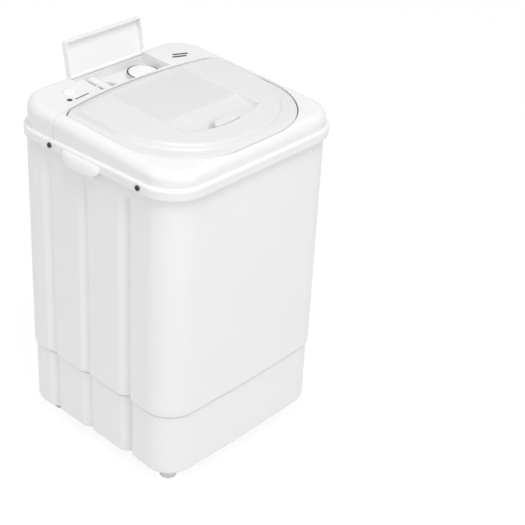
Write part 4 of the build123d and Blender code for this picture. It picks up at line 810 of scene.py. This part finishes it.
def lid_front_edge(x):
    """Front edge of the lid at a sideways place."""
    lid = bpy.context.scene.washer_lid
    straight = lid.half_width - lid.front_radius
    beyond = max(abs(x) - straight, 0.0)
    return lid.front + lid.front_radius - sqrt(max(lid.front_radius ** 2 - beyond ** 2, 0.0))


def lid_rear_radius():
    """Radius of the hinge edge's sweep."""
    lid = bpy.context.scene.washer_lid
    rise = lid.rear_middle - lid.corner_y
    return (lid.corner_x ** 2 + rise ** 2) / (2.0 * rise)


def lid_rear_edge(x):
    """Rear edge of the lid at a sideways place."""
    lid = bpy.context.scene.washer_lid
    if abs(x) <= lid.corner_x:
        radius = lid_rear_radius()
        return lid.rear_middle - radius + sqrt(radius ** 2 - x ** 2)
    part = (abs(x) - lid.corner_x) / (lid.half_width - lid.corner_x)
    return lid.corner_y + (lid.side_end - lid.corner_y) * part


def front_inset(x, v, half, front, radius):
    """Distance of a point in from an outline with a straight front and round front corners."""
    straight = half - radius
    turn = front + radius
    across = abs(x)
    if v < turn and across > straight:
        return radius - hypot(across - straight, v - turn)
    return min(v - front, half - across)


def rear_inset(x, v):
    """Distance of a point of the lid in from the hinge edge and the cut rear corners."""
    lid = bpy.context.scene.washer_lid
    radius = lid_rear_radius()
    rear = radius - hypot(x, v - lid.rear_middle + radius)
    side = Vector((lid.half_width, lid.side_end))
    way = (Vector((lid.corner_x, lid.corner_y)) - side).normalized()
    corner = (abs(x) - side.x) * -way.y + (v - side.y) * way.x
    return max(min(rear, corner), 0.0)


def pocket_edge(x):
    """Front edge of the recess at a sideways place."""
    lid = bpy.context.scene.washer_lid
    return lid.pocket_front + lid.pocket_radius - sqrt(lid.pocket_radius ** 2 - x ** 2)


def pocket_floor(v):
    """Height of the recess at a backward place."""
    lid = bpy.context.scene.washer_lid
    if v > lid.pocket_break:
        part = (v - lid.pocket_break) / (lid.pocket_rear - lid.pocket_break)
        return lid.break_level + (lid.rear_level - lid.break_level) * part
    part = (lid.pocket_break - v) / (lid.pocket_break - lid.pocket_front)
    return lid.break_level + (lid.front_level - lid.break_level) * part


def pocket_share(x, v):
    """1 inside the recess, 0 outside it, with a soft edge between."""
    lid = bpy.context.scene.washer_lid
    half = lid.pocket_half_width
    share = 1.0 - smooth_step(half - POCKET_SOFT, half + POCKET_SOFT, abs(x))
    if abs(x) < half + POCKET_SOFT:
        edge = pocket_edge(x)
        share *= smooth_step(edge - POCKET_SOFT, edge + POCKET_SOFT, v)
    return share * (1.0 - smooth_step(lid.pocket_rear - POCKET_FADE, lid.pocket_rear, v))


def lid_height(x, v):
    """Height of the lid's upper face."""
    lid = bpy.context.scene.washer_lid
    behind = rear_inset(x, v)
    before = max(front_inset(x, v, lid.half_width, lid.front, lid.front_radius), 0.0)
    inner = front_inset(x, v, lid.half_width - lid.strip, lid.front + lid.strip, lid.crown_radius)
    strip = lid.edge + lid.strip_rise * min(before / lid.strip, 1.0)
    height = strip + (lid.crown - strip) * smooth_step(0.0, lid.riser, inner)
    slope = lid.edge + (lid.crown - lid.edge) * behind / lid.rear_band
    height = soft_lower(height, slope, lid.shoulder)
    inset = min(before, behind)
    if inset < LID_RIM:
        height -= LID_RIM - sqrt(LID_RIM ** 2 - (LID_RIM - inset) ** 2)
    reach = hypot(x, v - lid.tab_y)
    pit = lid.pit_depth * (1.0 - smooth_step(lid.pit_radius - PIT_SLOPE, lid.pit_radius, reach))
    floor = min(pocket_floor(v) - pit, height)
    return height + (floor - height) * pocket_share(x, v)


class WASHER_OT_lid(bpy.types.Operator):
    """Builds the lid with its soft shoulder, flat crown and sloping recess"""

    bl_idname = "washer.lid"
    bl_label = "Lid"

    def execute(self, context):
        points, faces, border = self.upper_face()
        self.add_rim(points, faces, border)
        piece = add_piece("lid_shell", points, faces, "lid", "lid_white", ("lid",), LID_SHARP)
        self.tint_recess(piece)
        thick = piece.modifiers.new("wall", "SOLIDIFY")
        thick.thickness = context.scene.washer_lid.wall
        thick.offset = -1.0
        return {"FINISHED"}

    def upper_face(self):
        """Points and faces of the upper face, and the points along its edge."""
        columns = self.columns()
        points = []
        rows = 0
        for x in columns:
            places = self.rows_at(x)
            rows = len(places)
            points += [on_top(x, v, lid_height(x, v)) for v in places]
        faces = []
        for column in range(len(columns) - 1):
            for row in range(rows - 1):
                here = column * rows + row
                faces.append((here, here + rows, here + rows + 1, here + 1))
        last = (len(columns) - 1) * rows
        border = [column * rows for column in range(len(columns))]
        border += [last + row for row in range(1, rows)]
        border += [column * rows + rows - 1 for column in reversed(range(len(columns) - 1))]
        border += list(reversed(range(1, rows - 1)))
        return points, faces, border

    def columns(self):
        """Sideways places of the lid's points."""
        lid = bpy.context.scene.washer_lid
        half = lid.pocket_half_width
        right = [step * COLUMN_STEP for step in range(COLUMN_COUNT)]
        right.append(half + COLUMN_BEFORE)
        right += [half + line * MM for line in EDGE_LINES]
        right.append(half + COLUMN_AFTER)
        right += spread_ends(half + SIDE_COLUMNS_FROM, lid.half_width, SIDE_COLUMNS)
        return [-x for x in reversed(right[1:])] + right

    def rows_at(self, x):
        """Backward places of the lid's points on one line from front to back."""
        lid = bpy.context.scene.washer_lid
        front = lid_front_edge(x)
        rear = lid_rear_edge(x)
        half = lid.pocket_half_width
        edge = pocket_edge(min(abs(x), half))
        if abs(x) > half:
            share = (pocket_edge(half) - lid_front_edge(half)) / (lid_rear_edge(half) - lid_front_edge(half))
            edge = front + share * (rear - front)
        narrow = min(1.0, (edge - front) / LITTLE_ROOM)
        places = spread_ends(front, edge + ROW_BEFORE * narrow, FRONT_ROWS)
        places += [edge + line * MM * narrow for line in EDGE_LINES]
        places += spread_ends(edge + ROW_AFTER * narrow, rear, REAR_ROWS)
        return places

    def add_rim(self, points, faces, border):
        """Drops the rim from the edge of the upper face, shallow behind the hinge."""
        lid = bpy.context.scene.washer_lid
        rim = len(points)
        for index in border:
            v = place_back(points[index])
            thin = smooth_step(lid.thin_from - THIN_RAMP, lid.thin_from, v)
            depth = lid.depth + (lid.rear_depth - lid.depth) * thin
            points.append(on_top(points[index].x, v, -depth))
        for place, index in enumerate(border):
            after = (place + 1) % len(border)
            faces.append((index, rim + place, rim + after, border[after]))

    def tint_recess(self, piece):
        """Gives the level part of the recess its own satin finish: a slight blue tint of the plastic, set darker
        than the lid as painted shade
        """
        lid = bpy.context.scene.washer_lid
        piece.data.materials.append(finish_of("recess"))
        end = lid.pocket_rear - POCKET_FADE / 2
        for face in piece.data.polygons:
            level = lid.pocket_break < place_back(face.center) < end
            if level and abs(face.center.x) < lid.pocket_half_width:
                face.material_index = 1


# Finger tab: ends of its round, room at its ends, gap to the recess's edge, round of its edge and low crown
TAB_FROM = 8.0
TAB_TO = 172.0
TAB_ROUND_STEPS = 41
TAB_FRONT_STEPS = 15
TAB_END_ROOM = 2 * MM
TAB_GAP = 1.4 * MM
TAB_EDGE = 1.3 * MM
TAB_CROWN = ((4 * MM, 0.3 * MM), (9 * MM, 0.5 * MM))
TAB_SHARP = 50.0


class WASHER_OT_tab(bpy.types.Operator):
    """Builds the half moon tab in the recess"""

    bl_idname = "washer.tab"
    bl_label = "Finger tab"

    def execute(self, context):
        outline = self.outline()
        middle = Vector((0.0, sum(v for x, v in outline) / len(outline)))
        rings = []
        for inset, height in self.profile():
            ring = []
            for x, v in outline:
                out = Vector((x, v)) - middle
                scale = max(out.length - inset, 0.0) / out.length
                ring.append(on_top(middle.x + out.x * scale, middle.y + out.y * scale, height))
            rings.append(ring)
        points, faces = capped_loft(rings)
        add_piece("lid_tab", points, faces, "lid", "lid_white", ("lid_grip",), TAB_SHARP)
        return {"FINISHED"}

    def outline(self):
        """Plan of the tab: a half moon whose front follows the edge of the recess."""
        lid = bpy.context.scene.washer_lid
        moon = arc(0.0, lid.tab_y, lid.tab_radius, lid.tab_radius, TAB_FROM, TAB_TO, TAB_ROUND_STEPS)
        moon = [(x, v) for x, v in moon if v > pocket_edge(x) + TAB_END_ROOM]
        front = spread(moon[-1][0], moon[0][0], TAB_FRONT_STEPS)[1:-1]
        return moon + [(x, pocket_edge(x) + TAB_GAP) for x in front]

    def profile(self):
        """Inset and height of the tab's rings, from its underside over its round edge to its crown."""
        lid = bpy.context.scene.washer_lid
        top = lid.tab_top
        low = lid.tab_top - lid.tab_wall
        angles = spread(pi / 2, 0.0, EDGE_RINGS)
        edge = [(TAB_EDGE * (1.0 - cos(angle)), TAB_EDGE * (1.0 - sin(angle))) for angle in angles]
        profile = [(inset, low + rise) for inset, rise in edge]
        profile += [(inset, top - rise) for inset, rise in reversed(edge)]
        profile += [(inset, top + rise) for inset, rise in TAB_CROWN]
        return profile


# Carry handles: wall, reach under the flange, lip past it, droop of the ends and depth of the crest
HOOD_WALL = 2.6 * MM
HOOD_TUCK = 1 * MM
HOOD_LIP = 0.6 * MM
HOOD_DROOP = 1.5 * MM
HOOD_CREST = 6 * MM
HOOD_STEPS = 33
HOOD_BACK_STEPS = 14
HOOD_INNER_STEPS = 8
HOOD_SHARP = 50.0

# Swell of a handle along its length, the share of its height at its ends and the share that the swell adds
HOOD_FALL = 3.2
HOOD_FULLNESS = 0.55
HOOD_END_SHARE = 0.1
HOOD_SWELL_SHARE = 0.72


class WASHER_OT_handles(bpy.types.Operator):
    """Builds the two rounded carry handles under the flange"""

    bl_idname = "washer.handles"
    bl_label = "Carry handles"

    def execute(self, context):
        low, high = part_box("carry_handles")
        hoods = []
        for side in (-1.0, 1.0):
            rings = []
            for y in spread_ends(low.y, high.y, HOOD_STEPS):
                rings.append([Vector((side * x, y, z)) for x, z in self.section(y, low, high)])
            points, faces = capped_loft(rings)
            hoods.append((points, faces if side < 0 else flipped(faces)))
        points, faces = joined(hoods)
        add_piece("handle_hoods", points, faces, "machine", "cover_white", ("carry_handles",), HOOD_SHARP)
        return {"FINISHED"}

    def section(self, y, low, high):
        """Outline of a hood across its length, narrower towards the ends."""
        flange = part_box("flange_collar")[1].x
        part = abs(y - (low.y + high.y) / 2) / ((high.y - low.y) / 2)
        bulge = (1.0 - part ** HOOD_FALL) ** HOOD_FULLNESS
        inside = flange - HOOD_TUCK
        lip = flange + HOOD_LIP
        out = lip + (high.x - lip) * bulge
        top = high.z - HOOD_DROOP * (1.0 - bulge)
        crest = high.z - HOOD_CREST
        foot = crest - (crest - low.z) * (HOOD_END_SHARE + HOOD_SWELL_SHARE * bulge)
        half = HOOD_WALL / 2
        edge = foot + half
        inner_reach = max(out - inside - HOOD_WALL, 0.0)
        outline = arc(inside, edge, out - inside, top - edge, 90.0, 0.0, HOOD_BACK_STEPS)
        outline += arc(out - half, edge, half, half, 0.0, -180.0, HOOD_INNER_STEPS)
        outline += arc(inside, edge, inner_reach, top - edge - HOOD_WALL, 0.0, 90.0, HOOD_INNER_STEPS)[1:]
        return outline


# Printed marks: thickness of the ink, the dot's middle and radius, the bars' ends and widths, in millimetres
INK_FILM = 0.12
DOT = (-121.5, 99.9, 4.2)
DOT_STEPS = 32
BAR_END_STEPS = 9
BARS = (
    (-112.5, 96.6, -86.0, 99.2, 2.2),
    (103.0, 112.0, 122.0, 104.0, 4.4),
    (110.0, 118.0, 130.0, 109.0, 4.4),
)


class WASHER_OT_marks(bpy.types.Operator):
    """Prints plain marks on the deck: a dot, a bar and two slanted bars"""

    bl_idname = "washer.marks"
    bl_label = "Printed marks"

    def execute(self, context):
        outlines = [circle(*DOT, DOT_STEPS)] + [self.bar(*bar) for bar in BARS]
        shapes = []
        for outline in outlines:
            rings = []
            for height in (-INK_FILM, INK_FILM):
                rings.append([on_top(x * MM, v * MM, height * MM) for x, v in outline])
            shapes.append(capped_loft(rings))
        points, faces = joined(shapes)
        marks = add_piece("deck_marks", points, faces, "machine", "rubber_black")
        marks.data.materials[0] = finish_of("ink")
        return {"FINISHED"}

    def bar(self, x0, v0, x1, v1, width):
        """Outline of a round ended bar in millimetres."""
        way = Vector((x1 - x0, v1 - v0)).normalized()
        side = Vector((-way.y, way.x))
        half = width / 2
        outline = []
        for middle, turn in ((Vector((x1, v1)), 0.0), (Vector((x0, v0)), 180.0)):
            for angle in spread(-90.0 + turn, 90.0 + turn, BAR_END_STEPS):
                point = middle + way * half * cos(radians(angle)) + side * half * sin(radians(angle))
                outline.append((point.x, point.y))
        return outline


# Stage
WHITE = (1.0, 1.0, 1.0)
WARM_WHITE = (1.0, 0.985, 0.955)
FLOOR_REACH = 8.0
FLOOR_GLOW = 1.1
FLOOR_GLOW_SHARE = 0.8


class WASHER_OT_stage(bpy.types.Operator):
    """Sets up the camera, the lamps, the floor and the background"""

    bl_idname = "washer.stage"
    bl_label = "Stage"

    def execute(self, context):
        stage = context.scene.washer_stage
        context.scene.view_settings.view_transform = "Standard"
        self.add_camera(context.scene, stage)
        self.add_lamp(
            "key_lamp", stage.key_power, place=(-0.3, -2.7, 1.2), target=(0.0, 0.0, 0.3), size=1.2,
            colour=WARM_WHITE)
        self.add_lamp(
            "top_lamp", stage.top_power, place=(-0.45, -0.8, 2.3), target=(0.0, 0.0, 0.5), size=1.0)
        self.add_lamp(
            "side_lamp", stage.side_power, place=(-2.6, 0.5, 1.3), target=(0.0, 0.0, 0.3), size=1.6)
        self.add_floor(stage)
        self.light_world(context.scene, stage)
        return {"FINISHED"}

    def add_camera(self, scene, stage):
        """Camera at the photograph's view."""
        turn = stage.azimuth
        lift = stage.elevation
        back = Vector((sin(turn) * cos(lift), -cos(turn) * cos(lift), sin(lift)))
        right = Vector((cos(turn), sin(turn), 0.0))
        up = back.cross(right)
        level = right * cos(stage.roll) + up * sin(stage.roll)
        upright = up * cos(stage.roll) - right * sin(stage.roll)
        place = Vector((0.0, 0.0, stage.target_height)) + back * stage.distance
        lens = bpy.data.cameras.new("photo_camera")
        lens.lens = stage.lens
        lens.sensor_width = 36.0
        lens.shift_x = stage.shift_x
        lens.shift_y = stage.shift_y
        lens.clip_end = 50.0
        camera = bpy.data.objects.new("photo_camera", lens)
        axes = Matrix((level, upright, back)).transposed().to_4x4()
        camera.matrix_world = Matrix.Translation(place) @ axes
        scene.collection.objects.link(camera)
        scene.camera = camera

    def add_lamp(self, name, power, place, target, size, colour=WHITE):
        """Soft square lamp that looks at a point."""
        light = bpy.data.lights.new(name, "AREA")
        light.size = size
        light.energy = power
        light.color = colour
        lamp = bpy.data.objects.new(name, light)
        lamp.location = place
        way = Vector(target) - Vector(place)
        lamp.rotation_euler = way.to_track_quat("-Z", "Y").to_euler()
        bpy.context.scene.collection.objects.link(lamp)

    def add_floor(self, stage):
        """Pale floor that stays white to the camera and keeps a faint shadow."""
        reach = FLOOR_REACH
        corners = [(-reach, -reach, 0.0), (reach, -reach, 0.0), (reach, reach, 0.0), (-reach, reach, 0.0)]
        mesh = bpy.data.meshes.new("studio_floor")
        mesh.from_pydata(corners, [], [(0, 1, 2, 3)])
        floor = bpy.data.objects.new("studio_floor", mesh)
        bpy.context.scene.collection.objects.link(floor)
        finish = Finish("finish_floor")
        finish.set(Base_Color=tuple(stage.floor), Roughness=0.9)
        glow = finish.node("ShaderNodeEmission", {}, {"Color": WHITE, "Strength": FLOOR_GLOW})
        share = FLOOR_GLOW_SHARE * finish.background_rays()
        both = finish.node("ShaderNodeMixShader", {}, {0: share, 1: finish.shader, 2: glow})
        mesh.materials.append(finish.done(both))

    def light_world(self, scene, stage):
        """Even light from all round, white where it is seen."""
        world = bpy.data.worlds.new("studio_world")
        world.use_nodes = True
        scene.world = world
        sky = Graph(world.node_tree)
        soft = sky.node("ShaderNodeBackground", {}, {"Color": WHITE, "Strength": stage.ambient})
        bright = sky.node("ShaderNodeBackground", {}, {"Color": WHITE, "Strength": 1.0})
        both = sky.node("ShaderNodeMixShader", {}, {0: sky.background_rays(), 1: soft, 2: bright})
        sky.node("ShaderNodeOutputWorld", {}, {"Surface": both})


GROUPS = {
    "washer_shell": WasherShell,
    "washer_lid": WasherLid,
    "washer_colours": WasherColours,
    "washer_stage": WasherStage,
}
OPERATORS = (
    WASHER_OT_finishes,
    WASHER_OT_gap_shade,
    WASHER_OT_barrel,
    WASHER_OT_cabinet,
    WASHER_OT_base,
    WASHER_OT_lid,
    WASHER_OT_tab,
    WASHER_OT_handles,
    WASHER_OT_marks,
    WASHER_OT_stage,
)


class WASHER_PT_tools(bpy.types.Panel):
    """Lists the washer's pieces in the sidebar"""

    bl_idname = "WASHER_PT_tools"
    bl_label = "Top load washer"
    bl_space_type = "VIEW_3D"
    bl_region_type = "UI"
    bl_category = "Washer"

    def draw(self, context):
        for operator in OPERATORS:
            self.layout.operator(operator.bl_idname)
        for group_name, kind in GROUPS.items():
            box = self.layout.box()
            for name in kind.__annotations__:
                box.prop(getattr(context.scene, group_name), name)


def register():
    """Registers the groups, the operators and the panel."""
    for name, group in GROUPS.items():
        bpy.utils.register_class(group)
        setattr(bpy.types.Scene, name, PointerProperty(type=group))
    for operator in OPERATORS:
        bpy.utils.register_class(operator)
    bpy.utils.register_class(WASHER_PT_tools)


def unregister():
    """Takes the panel, the operators and the groups away."""
    bpy.utils.unregister_class(WASHER_PT_tools)
    for operator in reversed(OPERATORS):
        bpy.utils.unregister_class(operator)
    for name, group in reversed(GROUPS.items()):
        delattr(bpy.types.Scene, name)
        bpy.utils.unregister_class(group)


def main():
    """Builds everything in order."""
    register()
    bpy.ops.washer.finishes()
    bpy.ops.washer.seal()
    bpy.ops.washer.barrel()
    bpy.ops.washer.cabinet()
    bpy.ops.washer.base()
    bpy.ops.washer.lid()
    bpy.ops.washer.tab()
    bpy.ops.washer.handles()
    bpy.ops.washer.marks()
    bpy.ops.washer.stage()


if __name__ == "__main__":
    main()
